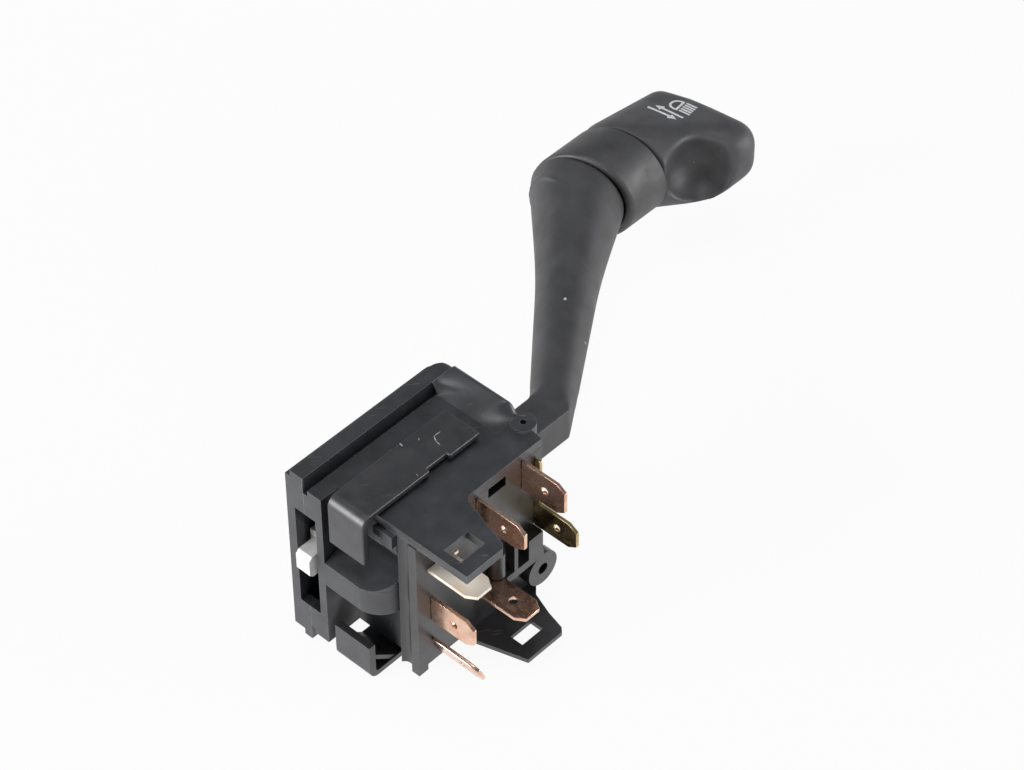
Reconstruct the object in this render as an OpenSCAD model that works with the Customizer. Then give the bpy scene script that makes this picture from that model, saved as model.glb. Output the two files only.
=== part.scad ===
// Combination stalk switch, in millimetres.
// Origin: centre of the front face, in the plane that the lever lies in.
// +X runs out along the lever, +Y faces the driver, +Z is up.

/* [Body] */
// Length of the body along X
body_l = 41; // [39:0.5:46]
// Height of the body over its top and bottom plates
body_h = 40; // [39:0.5:44]
// Depth from the front face to the rear face of the contact carrier
body_d = 28.7; // [28.2:0.1:32]
// Thickness of the top and bottom plates
skin = 2; // [1.6:0.1:2.2]
// Thickness of the side walls
wall = 1.6; // [1.2:0.1:1.8]
// Depth of the front cover
cover_d = 4.7; // [4.5:0.1:5.2]
// Thickness of the cover's front face
cover_skin = 1.6; // [1.2:0.1:1.7]
// Height of the guide ridges above the plates
ridge_h = 2.5; // [1.5:0.1:3.5]
// Distance of the guide ridges behind the front face
ridge_setback = 1.4; // [1:0.1:2]
// Height of the cover's front lip above the plates
lip_h = 1; // [0.5:0.1:1.4]
// Width of the guide groove behind the ridge
groove_w = 1.2; // [0.8:0.1:1.6]
// Depth of the guide groove below the plate
groove_depth = 1.4; // [0.8:0.1:1.5]
// Length of the guide groove
groove_l = 35; // [25:1:36]

/* [Pawl end] */
// Height of the window for the cancelling pawl
pawl_window_h = 26; // [24:0.5:30]
// Width of the frame that holds the pawl window
end_frame_w = 4.7; // [4.4:0.1:5.2]
// Depth of the recess that takes the latch legs
leg_recess = 8.5; // [7:0.1:8.8]
// Height of the middle ledge in that recess
ledge_h = 6.1; // [4:0.1:8]
// Width of the cancelling pawl
pawl_w = 3.6; // [3:0.1:3.7]
// Height of the pawl's nose
pawl_h = 5.4; // [4:0.1:6]
// Reach of the pawl beyond the end face
pawl_reach = 1.3; // [0.8:0.1:2]

/* [Latches] */
// Width of the latch straps
latch_w = 9.2; // [7:0.1:9.8]
// Thickness of the latch straps
latch_t = 1.3; // [1:0.1:1.6]
// Length of the latch straps along X
latch_l = 31.7; // [26:0.1:33]
// Room under the latch straps
latch_gap = 0.7; // [0.6:0.1:1.2]
// Length of the top latch's leg below the plate's top
top_leg = 10; // [7:0.1:12]
// Length of the bottom latch's leg above the bottom plate
bottom_leg = 6.7; // [5:0.1:9]

/* [Connector] */
// Reach of the latch tab and tongue behind the carrier
tab_reach = 13.8; // [12:0.1:16]
// Width of the tab at its tip
tab_w = 9.6; // [8.5:0.1:11]
// Length of the latch window in the tab
tab_window_l = 6.3; // [5:0.1:7]
// Width of the latch window in the tab
tab_window_w = 4.3; // [4.2:0.1:5]
// Width of a terminal blade
blade_w = 6.3; // [5.8:0.1:6.4]
// Width of the wide terminal blade
wide_blade_w = 7.6; // [6.3:0.1:7.8]
// Thickness of a terminal blade
blade_t = 0.8; // [0.6:0.1:1]
// Reach of the blades behind the carrier
blade_reach = 12; // [9:0.1:13]
// Diameter of the lock hole in a blade
blade_hole = 1.7; // [1.4:0.1:2.2]

/* [Lever] */
// Depth of the lever's axis behind the front face
lever_depth = 12.7; // [12.5:0.1:13]
// Width of the lever's square stub
stub_w = 8.4; // [7.6:0.1:8.6]
// Height of the lever's square stub
stub_h = 8; // [7.6:0.1:8.4]
// Distance from the lever's pivot to its bend
stub_l = 31.6; // [27:0.2:40]
// Angle of the arm to the stub
arm_angle = 37.3; // [30:0.1:42]
// Length of the arm from its bend to the sleeve's axis
arm_l = 64.7; // [55:0.1:80]
// Diameter of the arm at its bend
arm_root_d = 9; // [8.4:0.1:10]
// Diameter of the arm where its flare starts
arm_mid_d = 12.6; // [11:0.1:14]
// Distance from the bend to the start of the flare
arm_mid_at = 33; // [25:1:38]
// Diameter of the arm at the sleeve
arm_end_d = 20.4; // [19:0.1:21.4]
// Diameter of the grip sleeve
sleeve_d = 22.2; // [22:0.1:24]
// Length of the grip sleeve from the arm's bend to the knob
sleeve_l = 13.1; // [12:0.1:18]
// Angle of the knob's axis to the sleeve
knob_angle = 14; // [0:0.5:15]

/* [Knob] */
// Length of the knob
knob_l = 22.6; // [20:0.1:26]
// Reach of the knob's wing to the rear of its axis
wing_reach = 23.3; // [20:0.1:25]
// Thickness of the wing
wing_h = 14.6; // [12:0.1:16]
// Radius of the finger hollow
hollow_r = 8; // [6:0.1:8.6]
// Diameter of the knob's axle
axle_d = 8; // [6:0.1:9]

/* [Motion] */
// Swing of the lever either way from rest, in degrees
turn_angle = 14; // [10:1:15]
// Pull of the lever towards the driver, in degrees
dip_angle = 8; // [6:1:9]
// Distance of the pivot from the body's middle
pivot_x = 8; // [7.6:0.1:8.4]
// Diameter of the yoke's trunnions
trunnion_d = 5; // [4:0.1:5.4]
// Diameter of the lever's hinge pin
pin_d = 3; // [2:0.1:3.2]

/* [Clearances] */
// Radial clearance of a running fit
run_gap = 0.05; // [0.02:0.01:0.09]
// Gap round a piece that sits in a seat
seat_gap = 0.1; // [0.05:0.01:0.15]

/* [Hidden] */
$fn = 64;
eps = 0.01;
round_fn = 32;

// Faces of the body
left_x = -body_l / 2;
right_x = body_l / 2;
top_z = body_h / 2;
in_z = top_z - skin;
cover_y = -cover_d;
rear_y = -body_d;
frame_y = cover_y - end_frame_w;
carrier_d = 6.7;
carrier_y = rear_y + carrier_d;
flange_y = carrier_y - 2.4;
left_block_y = rear_y - 0.9;
end_wall = 2;
recess_x = left_x + leg_recess;
room_x = recess_x + wall - 0.1;
far_x = right_x - wall;
corner_r = 2.6;
rim_round = 1;
plan_round = 3.3;
lower_setback = ridge_setback + 1.3;

// Pawl end
ledge_top = ledge_h / 2 - 0.25;
ledge_bottom = ledge_top - ledge_h;
ledge_round = 6;
partition_t = 1.2;
partition_y = frame_y + partition_t;
pawl_y = cover_y - 0.1;
window_front_y = pawl_y + pawl_w / 2 + 0.9;
window_rear_y = pawl_y - pawl_w / 2 - 1;

// Yoke
lever_y = -lever_depth;
core_w = 5.6;
core_h = stub_h - 0.4;
pocket_w = core_w + 3.4;
pocket_h = core_h + 0.4;
frame_wall = 1.3;
frame_w = pocket_w + 2 * frame_wall;
frame_h = pocket_h + 4.8;
frame_x0 = pivot_x - 11.6;
frame_x1 = pivot_x + 7.6;
pocket_x0 = frame_x0 + 2;
frame_front = lever_y + frame_w / 2;
frame_rear = lever_y - frame_w / 2;
tail_x = pocket_x0 + 0.7;
trunnion_front = -cover_skin - 0.7;
trunnion_rear = carrier_y + 0.3;
boss_d = trunnion_d + 3;
boss_gap = 0.4;

// Pawl and its channel
pawl_tip = left_x - pawl_reach;
pawl_tail = pawl_tip + 12.8;
channel_x0 = left_x + 3.5;
channel_x1 = pawl_tail + 6;
channel_lip = 1;
channel_h = pawl_h + 1.6;
channel_wall = 0.7;
channel_cap = 1;
shoulder_h = channel_h - 2 * seat_gap;
shoulder_x0 = channel_x0 + channel_lip + seat_gap;
shoulder_x1 = shoulder_x0 + 3;

// Detent
crest_r = 15.15;
crest_gap = 0.15;
notch_r = 1.2;
plunger_d = 2.9;
plunger_tip = pivot_x - crest_r + crest_gap;
plunger_l = 2.6;
tube_d = 5;
tube_x = plunger_tip + 0.8;
tube_floor = pocket_x0 - 0.7;
cam_h = 12.4;
cam_w = 5.8;

// Contact sliders
drive_r = 6.5;
drive_d = 2.4;
slider_x0 = pivot_x + 4.4;
slider_x1 = slider_x0 + 5;
slider_front = frame_rear - 0.5;
slider_rear = carrier_y + 0.7;
slider_h = 14;
turn_wiper_t = 0.3;
finger_r = 7.5;
finger_d = 2.4;
finger_tip = frame_rear - 0.5;
dip_front = finger_tip - seat_gap;
dip_t = 1.2;
dip_rear = dip_front - dip_t;
dip_x0 = pivot_x - 14;
dip_x1 = pivot_x - boss_d / 2 - 0.3;
dip_h = 9.2;
dip_wiper_t = 0.2;
stem_x = pivot_x - 9.5;
stem_d = 3;
stem_end = dip_rear - 6;
spring_hole_d = 6.2;
spring_hole_y = carrier_y - 3;
pad_t = 0.2;
pad_y = carrier_y + pad_t;

// Lever
bend_x = pivot_x + stub_l;
step_x = pivot_x + 9;
arm_dx = cos(arm_angle);
arm_dy = sin(arm_angle);
elbow_x = bend_x + arm_l * arm_dx;
grip_y = lever_y + arm_l * arm_dy;
mitre_angle = arm_angle / 2;
seam_shift = 1;
ring_x = elbow_x + sleeve_l;
ring_gap = 0.5;
lead_bore = 4;
lead_d = 1.2;
sleeve_bore = sleeve_d - 4;
end_wall_t = 1.6;
spigot_x = elbow_x + 3.5;
arm_over = arm_end_d / 2 * tan(arm_angle) + 5;

// Knob, along its own axis from the sleeve's end face
knob_start = ring_gap;
knob_end = ring_gap + knob_l;
knob_disc_d = sleeve_d - 0.6;
knob_wall = 1.8;
knob_round = 4.5;
disc_l = 2.2;
axle_end = -end_wall_t - 2.8;
clip_at = -end_wall_t - 1.05;
clip_t = 0.8;
clip_groove = 0.8;
contact_t = 1.4;
contact_at = axle_end - 0.5 - contact_t;

// Axis-aligned block between two corners
module block(x0, x1, y0, y1, z0, z1) {
    translate([x0, y0, z0]) cube([x1 - x0, y1 - y0, z1 - z0]);
}

// Rods along the three axes
module rod_x(x0, x1, y, z, d) {
    translate([x0, y, z]) rotate([0, 90, 0]) cylinder(h = x1 - x0, d = d);
}
module rod_y(y0, y1, x, z, d) {
    translate([x, y1, z]) rotate([90, 0, 0]) cylinder(h = y1 - y0, d = d);
}
module rod_z(z0, z1, x, y, d) {
    translate([x, y, z0]) cylinder(h = z1 - z0, d = d);
}

// Outline in the XZ plane, pushed from y0 to y1
module slab_y(y0, y1) {
    translate([0, y1, 0]) rotate([90, 0, 0]) linear_extrude(y1 - y0) children();
}

// Rectangle with two round corners on its +X side
module end_round_square(x0, x1, z0, z1, r) {
    union() {
        translate([x0, z0]) square([x1 - r - x0, z1 - z0]);
        translate([x1 - r - eps, z0 + r]) square([r + eps, z1 - z0 - 2 * r]);
        translate([x1 - r, z0 + r]) circle(r);
        translate([x1 - r, z1 - r]) circle(r);
    }
}

// Coil spring along Z from the origin: length, outside diameter, wire and turns
module coil(l, d, wire, turns) {
    sides = 6;
    steps = 14;
    rings = turns * steps;
    mid_r = (d - wire) / 2;
    rise = l - wire;
    points = [
        for (i = [0:rings])
            let (a = 360 * i / steps, h = wire / 2 + rise * i / rings)
                for (j = [0:sides - 1])
                    let (b = 360 * j / sides, r = mid_r + wire / 2 * cos(b))
                        [r * cos(a), r * sin(a), h + wire / 2 * sin(b)]
    ];
    walls = [
        for (i = [0:rings - 1])
            for (j = [0:sides - 1])
                let (k = (j + 1) % sides)
                    [i * sides + j, (i + 1) * sides + j, (i + 1) * sides + k, i * sides + k]
    ];
    first_end = [for (j = [0:sides - 1]) j];
    last_end = [for (j = [sides - 1:-1:0]) rings * sides + j];
    polyhedron(points, concat(walls, [first_end, last_end]), convexity = 8);
}

// Driver-side shell with the guide ridges and the front bearing
module front_cover() {
    inner_x = left_x + end_wall;
    color([0.11, 0.11, 0.12])
    difference() {
        union() {
            intersection() {
                union() {
                    slab_y(-ridge_setback, 0)
                        end_round_square(left_x, right_x, -top_z - lip_h, top_z + lip_h, corner_r);
                    slab_y(cover_y, -ridge_setback)
                        end_round_square(left_x, right_x, -top_z - lip_h, top_z, rim_round);
                }
                round_plan(0);
            }
            intersection() {
                slab_y(cover_y, -ridge_setback)
                    end_round_square(left_x, right_x, 0, top_z + ridge_h, rim_round);
                round_plan(-ridge_setback);
            }
            slab_y(cover_y, -lower_setback)
                end_round_square(left_x, right_x, -top_z - ridge_h, top_z, rim_round);
            cover_hooks();
        }
        slab_y(cover_y - eps, -cover_skin)
            end_round_square(inner_x, far_x, -in_z + 1.6, in_z - 1.6, 3);
        block(left_x - eps, inner_x + eps, cover_y - eps, window_front_y,
              -pawl_window_h / 2, pawl_window_h / 2);
        cover_face_marks();
    }
    color([0.11, 0.11, 0.12])
    difference() {
        rod_y(frame_front + boss_gap, -cover_skin + eps, pivot_x, 0, boss_d);
        rod_y(frame_front, trunnion_front + 0.2, pivot_x, 0, trunnion_d + 2 * run_gap);
    }
}

// Tall form whose outline from above has a round +X corner at its front face
module round_plan(front) {
    back = cover_y - 1;
    reach = body_l + 1;
    translate([0, 0, -top_z - 5]) linear_extrude(body_h + 10) union() {
        translate([left_x - 1, back]) square([reach - plan_round, front - back]);
        translate([left_x - 1, back]) square([reach, front - plan_round - back]);
        translate([right_x - plan_round, front - plan_round]) circle(plan_round);
    }
}

// Ring and side pockets in the cover's front face
module cover_face_marks() {
    mark = 0.4;
    difference() {
        rod_y(-mark, eps, pivot_x, 0, boss_d + 3);
        rod_y(-mark - eps, 2 * eps, pivot_x, 0, boss_d + 1.6);
    }
    for (s = [-1, 1])
        block(left_x + 6, left_x + 14, -mark, eps, s * (top_z - 9) - 4, s * (top_z - 9) + 4);
}

// Snap hooks of the cover, two above and two below
hook_x = 12;
hook_w = 5;
hook_l = 3.4;
hook_rise = 0.5;
module cover_hooks() {
    for (side = [-1, 1], s = [0, 1])
        mirror([0, 0, s]) {
            block(side * hook_x - hook_w / 2 + 2, side * hook_x + hook_w / 2 + 2,
                  cover_y - hook_l, cover_y + eps, in_z - 1.6, in_z - seat_gap);
            block(side * hook_x - hook_w / 2 + 2, side * hook_x + hook_w / 2 + 2,
                  cover_y - hook_l, cover_y - hook_l + 1, in_z - 1.6, in_z + hook_rise);
        }
}

// Outline of the top plate with its latch tab
tab_y = rear_y - tab_reach;
plate_x = left_x + 4.6;
module top_outline() {
    tip_x = plate_x + tab_w;
    polygon([
        [left_x, cover_y], [right_x, cover_y], [right_x, -19], [right_x - 1.1, rear_y],
        [plate_x + 15.4, rear_y], [plate_x + 14.2, rear_y - 0.7], [plate_x + 13.5, rear_y - 2.6],
        [tip_x + 1.4, tab_y + 2.5], [tip_x + 0.9, tab_y + 0.8], [tip_x, tab_y],
        [plate_x, tab_y], [plate_x, frame_y], [left_x, frame_y]
    ]);
}

// Outline of the bottom plate with its latch tongue
tongue_mid = 6;
tongue_t = 1;
module bottom_outline() {
    half = tab_w / 2;
    polygon([
        [left_x, cover_y], [right_x, cover_y], [right_x, -24], [right_x - 2.6, rear_y],
        [tongue_mid - half - 4, rear_y], [tongue_mid - half - 4, flange_y],
        [recess_x, flange_y], [recess_x, frame_y], [left_x, frame_y]
    ]);
}

// Outline of the thinner tongue behind the bottom plate
module tongue_outline() {
    half = tab_w / 2;
    polygon([
        [right_x - 2.6, rear_y + 1], [right_x - 2.6, rear_y],
        [tongue_mid + half + 3.8, rear_y - 3], [tongue_mid + half + 2, rear_y - 8],
        [tongue_mid + half + 0.9, tab_y + 1.4], [tongue_mid + half, tab_y + 0.5],
        [tongue_mid - half, tab_y + 0.5], [tongue_mid - half - 1.7, rear_y - 7.6],
        [tongue_mid - half - 4, rear_y], [tongue_mid - half - 4, rear_y + 1]
    ]);
}

// Swept rim that carries a guide ridge round the +X end
rim_l = 16.8;
rim_over = 0.6;
module end_rim() {
    sweep = ridge_h + 4.5;
    run = sqrt(sweep * sweep - (sweep - ridge_h) * (sweep - ridge_h));
    x0 = right_x - 1.4 - run;
    rim_top = top_z + ridge_h;
    difference() {
        slab_y(cover_y - rim_l, cover_y) difference() {
            union() {
                translate([x0, top_z - eps])
                    square([right_x + rim_over - rim_round - x0, ridge_h + eps]);
                translate([right_x - rim_round, in_z])
                    square([rim_round + rim_over, rim_top - rim_round - in_z]);
                translate([right_x + rim_over - rim_round, rim_top - rim_round])
                    circle(rim_round);
            }
            translate([x0, top_z + sweep]) circle(sweep);
        }
        translate([right_x, cover_y - rim_l, rim_top]) rotate([30, 0, 0])
            cube([30, 3, 2 * ridge_h], center = true);
    }
    rim_blend();
}

// Gentle slope from the guide ridge down to the plate, beyond the end of the guide groove
blend_l = 7;
module rim_blend() {
    x0 = left_x + groove_l;
    translate([x0, 0, 0]) rotate([90, 0, 90]) linear_extrude(right_x - 1 - x0)
        polygon([
            [cover_y, top_z - eps], [cover_y, top_z + ridge_h],
            [cover_y - blend_l, top_z], [cover_y - blend_l, top_z - eps]
        ]);
}

// Middle body: plates, end frame, ledge, walls, latch tab and tongue
module base_housing() {
    window_z = pawl_window_h / 2;
    swing = tan(turn_angle) * (right_x - pivot_x) + stub_h / 2 / cos(turn_angle) + 0.4;
    pull = sin(dip_angle) * (right_x - pivot_x) + stub_w / 2 + 0.5;
    color([0.13, 0.13, 0.14])
    difference() {
        union() {
            translate([0, 0, in_z]) linear_extrude(skin) top_outline();
            translate([0, 0, -top_z]) linear_extrude(skin) bottom_outline();
            translate([0, 0, -in_z - tongue_t]) linear_extrude(tongue_t) tongue_outline();
            for (s = [0, 1]) mirror([0, 0, s]) end_rim();
            block(left_x, left_x + end_wall, frame_y, cover_y, -in_z, in_z);
            block(left_x, room_x, frame_y, partition_y, -in_z, in_z);
            block(recess_x, room_x, flange_y, partition_y, -in_z, in_z);
            block(far_x, right_x, flange_y, cover_y, -in_z, in_z);
            ledge();
            side_ribs();
            rod_z(in_z, top_z + 0.6, right_x - 0.7, -23.5, 5.2);
            latch_seat(latch_gap);
            mirror([0, 0, 1]) latch_seat(lower_gap);
        }
        block(left_x - eps, left_x + end_wall + eps, window_rear_y, cover_y + eps,
              -window_z, window_z);
        for (s = [0, 1]) mirror([0, 0, s]) {
            block(left_x - eps, left_x + groove_l, cover_y - groove_w, cover_y + eps,
                  top_z - groove_depth, top_z + ridge_h + eps);
            for (side = [-1, 1])
                block(side * hook_x - hook_w / 2 + 2 - seat_gap,
                      side * hook_x + hook_w / 2 + 2 + seat_gap,
                      cover_y - hook_l - 0.2, cover_y - hook_l + 1.2,
                      in_z - eps, in_z + hook_rise + 0.05);
        }
        block(far_x - eps, right_x + eps, lever_y - stub_w / 2 - 0.5, lever_y + pull, -swing, swing);
        rod_z(top_z - 0.6, top_z + 1, right_x - 0.7, -23.5, 1.3);
        translate([plate_x + 2, tab_y + 3.3, in_z - eps])
            cube([tab_window_l, tab_window_w, skin + 2 * eps]);
        translate([tongue_mid - 2.8, tab_y + 3.9, -top_z - eps])
            cube([tab_window_l - 0.6, 3.1, skin + 2 * eps]);
    }
}

// Shelf between the two latch legs, with a round outer corner
module ledge() {
    translate([0, 0, ledge_bottom]) linear_extrude(ledge_h) union() {
        translate([left_x, flange_y + ledge_round])
            square([leg_recess + eps, frame_y + eps - flange_y - ledge_round]);
        translate([left_x + ledge_round, flange_y])
            square([leg_recess - ledge_round + eps, ledge_round + eps]);
        intersection() {
            translate([left_x + ledge_round, flange_y + ledge_round]) circle(ledge_round);
            translate([left_x, flange_y]) square([leg_recess, 2 * ledge_round]);
        }
    }
}

// Two short ribs under the top plate beside the latch leg
module side_ribs() {
    block(plate_x - 1.2, recess_x + eps, flange_y, flange_y + 2.2, in_z - 3, in_z + eps);
    block(plate_x, recess_x + eps, flange_y, flange_y + 3.4, in_z - 5.5, in_z - 3 + eps);
}

// Low seat under the root of a latch strap
lower_gap = latch_gap + 0.5;
seat_x0 = -8;
seat_x1 = -4;
latch_y0 = frame_y - 1.7 - latch_w;
latch_y1 = frame_y - 1.7;
module latch_seat(gap) {
    block(seat_x0, seat_x1, latch_y0 + 0.5, latch_y1 - 0.8, top_z - eps, top_z + gap - 0.15);
}

// Slot through the carrier for an upright blade
module upright_slot(x, z, w) {
    block(x - blade_t / 2 - seat_gap, x + blade_t / 2 + seat_gap, left_block_y - eps, carrier_y + eps,
          z - w / 2 - seat_gap, z + w / 2 + seat_gap);
}

// Slot through the carrier for a flat blade
module flat_slot(x, z, w) {
    block(x - w / 2 - seat_gap, x + w / 2 + seat_gap, left_block_y - eps, carrier_y + eps,
          z - blade_t / 2 - seat_gap, z + blade_t / 2 + seat_gap);
}

// Places of the terminals: X, Z and the width of each shank in the carrier
t1 = [right_x - 6.5, in_z - 3.7];
t2 = [right_x - 2.9, in_z - 6];
t3 = [right_x - 2.9, 1.1];
t4 = [left_x + 22, in_z - 3.5];
t5 = [left_x + 10.4, in_z - 8];
t6 = [3, -7];
t7 = [left_x + 8.4, -1.4];
t8 = [left_x + 9.5, -in_z + 5.4];
t8_lean = 24;
shank_w = 4;

// Rear moulding that holds the terminals and the rear bearing
module contact_carrier() {
    inner_x0 = room_x + seat_gap;
    inner_x1 = far_x - seat_gap;
    cz = in_z - seat_gap;
    color([0.1, 0.1, 0.11])
    difference() {
        union() {
            block(inner_x0, inner_x1, flange_y - seat_gap - eps, carrier_y, -cz, cz);
            block(plate_x - 0.2, right_x - 1.1, rear_y, flange_y - seat_gap, -cz, cz);
            block(plate_x - 0.2, plate_x + 15, left_block_y, rear_y + eps, -cz, cz);
            rod_y(carrier_y - eps, frame_rear - boss_gap, pivot_x, 0, boss_d);
            slider_rails();
            rear_relief();
        }
        rod_y(carrier_y - 0.6, frame_rear, pivot_x, 0, trunnion_d + 2 * run_gap);
        rod_y(stem_end - 1.3, carrier_y + eps, stem_x, 0, stem_d + 2 * run_gap);
        rod_y(spring_hole_y, carrier_y + eps, stem_x, 0, spring_hole_d);
        rod_z(-cz - eps, cz + eps, plate_x - 0.6, flange_y - 1.6, 3.4);
        upright_slot(t1[0], t1[1], shank_w);
        upright_slot(t2[0], t2[1], shank_w);
        upright_slot(t3[0], t3[1], shank_w);
        upright_slot(t4[0], t4[1], shank_w);
        flat_slot(t5[0] + 2.4, t5[1], shank_w);
        flat_slot(t6[0], t6[1], shank_w);
        block(t6[0] - 1.1, slider_x0 + 4.1, carrier_y - eps, pad_y + seat_gap,
              t6[1] - 1, t6[1] + 1);
        jog_slot(t7[0], t7[1], 3);
        translate([t8[0], 0, t8[1]]) rotate([0, -t8_lean, 0]) translate([-t8[0], 0, -t8[1]])
            jog_slot(t8[0], t8[1], 3);
        block(4.5, 9.3, rear_y - eps, rear_y + 2.5, in_z - 2.9, in_z - 0.5);
        block(plate_x + 2.3, plate_x + 16, left_block_y - eps, rear_y + eps, -cz - eps, -cz + 2.4);
        rod_y(rear_y - 3, rear_y + 2, ear_x, ear_z, 2.6);
    }
}

// Slot of a terminal whose shank steps sideways into the room
module jog_slot(x, z, w) {
    block(x - blade_t / 2 - seat_gap, x + blade_t / 2 + seat_gap, left_block_y - eps,
          flange_y - 2.2 + seat_gap, z - w / 2 - seat_gap, z + w / 2 + seat_gap);
    block(x - blade_t / 2 - seat_gap, x + 4.4 + seat_gap, flange_y - 3 - seat_gap,
          flange_y - 2.2 + seat_gap, z - w / 2 - seat_gap, z + w / 2 + seat_gap);
    block(x + 3.6 - seat_gap, x + 4.4 + seat_gap, flange_y - 3 - seat_gap, carrier_y + eps,
          z - w / 2 - seat_gap, z + w / 2 + seat_gap);
}

// Guides beside the turn slider
module slider_rails() {
    rail_front = carrier_y + 1.5;
    for (s = [-1, 1]) {
        block(slider_x0 - 1, slider_x0 - 0.15, carrier_y - eps, rail_front, s * 6 - 3, s * 6 + 3);
        block(slider_x1 + 0.15, slider_x1 + 0.75, carrier_y - eps, rail_front,
              s * 6.5 - 3, s * 6.5 + 3);
    }
}

// Ribs, block, round post and ear on the carrier's rear face
ear_x = right_x - 3.3;
ear_z = -in_z + 5;
ear_d = 8;
relief_y = rear_y - 2.4;
module rear_relief() {
    block(7, 17.5, relief_y, rear_y + eps, -9.3, -7.4);
    block(9.1, 10.1, relief_y, rear_y + eps, -8, 0);
    block(13.2, 17.2, relief_y, rear_y + eps, -7.5, -2.2);
    rod_y(relief_y, rear_y + eps, ear_x, ear_z, ear_d);
    rod_z(t6[1] + blade_t / 2 + 0.3, 0, 5.6, rear_y - 0.8, 3.6);
}

// Curved track with three notches that the turn plunger rides along
module detent_cam() {
    color([0.75, 0.74, 0.7])
    difference() {
        block(room_x + 0.02, pivot_x - 13.4, lever_y - cam_w / 2, lever_y + cam_w / 2,
              -cam_h / 2, cam_h / 2);
        rod_y(lever_y - cam_w, lever_y + cam_w, pivot_x, 0, 2 * crest_r);
        for (a = [-turn_angle, 0, turn_angle])
            rod_y(lever_y - cam_w, lever_y + cam_w, pivot_x - (crest_r + 0.3) * cos(a),
                  (crest_r + 0.3) * sin(a), 2 * notch_r);
    }
}

// Flat blade along -Y in the XY plane, centred on X, with its tip chamfered
module blade_outline(w, y0, y1) {
    c = 1.3;
    difference() {
        polygon([
            [-w / 2, y0], [w / 2, y0], [w / 2, y1 + 1.6 * c], [w / 2 - c, y1],
            [-w / 2 + c, y1], [-w / 2, y1 + 1.6 * c]
        ]);
        translate([0, y1 + 5.1]) circle(d = blade_hole);
    }
}

// Blade part of a terminal, outside the carrier
module blade(w, y0, y1) {
    translate([0, 0, -blade_t / 2]) linear_extrude(blade_t) blade_outline(w, y0, y1);
}

// Terminal with an upright blade, its shank and its contact pad
module upright_terminal(at, w, reach, from_y) {
    translate([at[0], 0, at[1]]) rotate([0, 90, 0]) blade(w, from_y - seat_gap, from_y - reach);
    block(at[0] - blade_t / 2, at[0] + blade_t / 2, from_y - 1, pad_y,
          at[1] - shank_w / 2, at[1] + shank_w / 2);
}

copper = [0.72, 0.45, 0.34];
brass = [0.71, 0.6, 0.27];

// Left-turn terminal, the wide blade
module terminal_1() {
    color(copper) {
        upright_terminal(t1, wide_blade_w, blade_reach - 0.9, rear_y);
        block(t1[0] - 1.2, t1[0] + 1.2, carrier_y, pad_y, 4.6, t1[1] + 2);
    }
}

// Short riser strip behind the wide blade
module terminal_2() {
    color(brass) {
        block(t2[0] - blade_t / 2, t2[0] + blade_t / 2, rear_y - 1.5, pad_y,
              t2[1] - shank_w / 2, t2[1] + shank_w / 2);
        block(t2[0] - blade_t / 2, t2[0] + blade_t / 2, rear_y - 1.5, rear_y - seat_gap,
              t3[1] + blade_w / 2 + 0.6, t2[1] + 4);
    }
}

// Supply terminal of the turn contacts
module terminal_3() {
    color(brass) {
        upright_terminal(t3, blade_w, blade_reach - 1, rear_y);
        block(t3[0] - 3.2, t3[0] + 0.4, carrier_y, pad_y, t3[1] - 1.1, t3[1] + 1.1);
    }
}

// Main-beam terminal
module terminal_4() {
    color(copper) {
        upright_terminal(t4, blade_w, blade_reach + 0.4, rear_y);
        block(t4[0] - 1.2, t4[0] + 1.2, carrier_y, pad_y, 3.3, t4[1] + 2);
    }
}

// Dipped-beam terminal, a flat blade under the tab
module terminal_5() {
    color(copper) {
        translate([t5[0], 0, t5[1]])
            blade(blade_w, left_block_y - seat_gap, rear_y - blade_reach - 0.7);
        block(t5[0] + 2.4 - shank_w / 2, t5[0] + 2.4 + shank_w / 2, left_block_y - 1, pad_y,
              t5[1] - blade_t / 2, t5[1] + blade_t / 2);
        block(t5[0] + 3.4, t5[0] + 6, carrier_y, pad_y, 3.4, t5[1] + blade_t / 2);
    }
}

// Right-turn terminal, a flat blade over the tongue
module terminal_6() {
    color(copper) {
        translate([t6[0], 0, t6[1]]) blade(blade_w, rear_y - seat_gap, rear_y - blade_reach - 0.8);
        block(t6[0] - shank_w / 2, t6[0] + shank_w / 2, rear_y - 1, pad_y,
              t6[1] - blade_t / 2, t6[1] + blade_t / 2);
        block(t6[0] - 1, slider_x0 + 4, carrier_y, pad_y, t6[1] - 0.9, t6[1] + 0.9);
    }
}

// Shank that steps sideways from the blade into the room
module jog_shank(x, z, w) {
    block(x - blade_t / 2, x + blade_t / 2, left_block_y - 1, flange_y - 2.2, z - w / 2, z + w / 2);
    block(x - blade_t / 2, x + 4.4, flange_y - 3, flange_y - 2.2, z - w / 2, z + w / 2);
    block(x + 3.6, x + 4.4, flange_y - 3, pad_y, z - w / 2, z + w / 2);
}

// Flash terminal
module terminal_7() {
    color(copper) {
        translate([t7[0], 0, t7[1]]) rotate([0, 90, 0])
            blade(blade_w, left_block_y - seat_gap, rear_y - blade_reach);
        jog_shank(t7[0], t7[1], 3);
        block(t7[0] + 3.6, t7[0] + 6.6, carrier_y, pad_y, t7[1] - 1.4, t7[1] + 1.4);
    }
}

// Side-light terminal, turned about its own length
module terminal_8() {
    color(copper)
    translate([t8[0], 0, t8[1]]) rotate([0, -t8_lean, 0]) translate([-t8[0], 0, -t8[1]]) {
        translate([t8[0], 0, t8[1]]) rotate([0, 90, 0])
            blade(blade_w, left_block_y - seat_gap, rear_y - blade_reach - 0.6);
        jog_shank(t8[0], t8[1], 3);
    }
}

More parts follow.
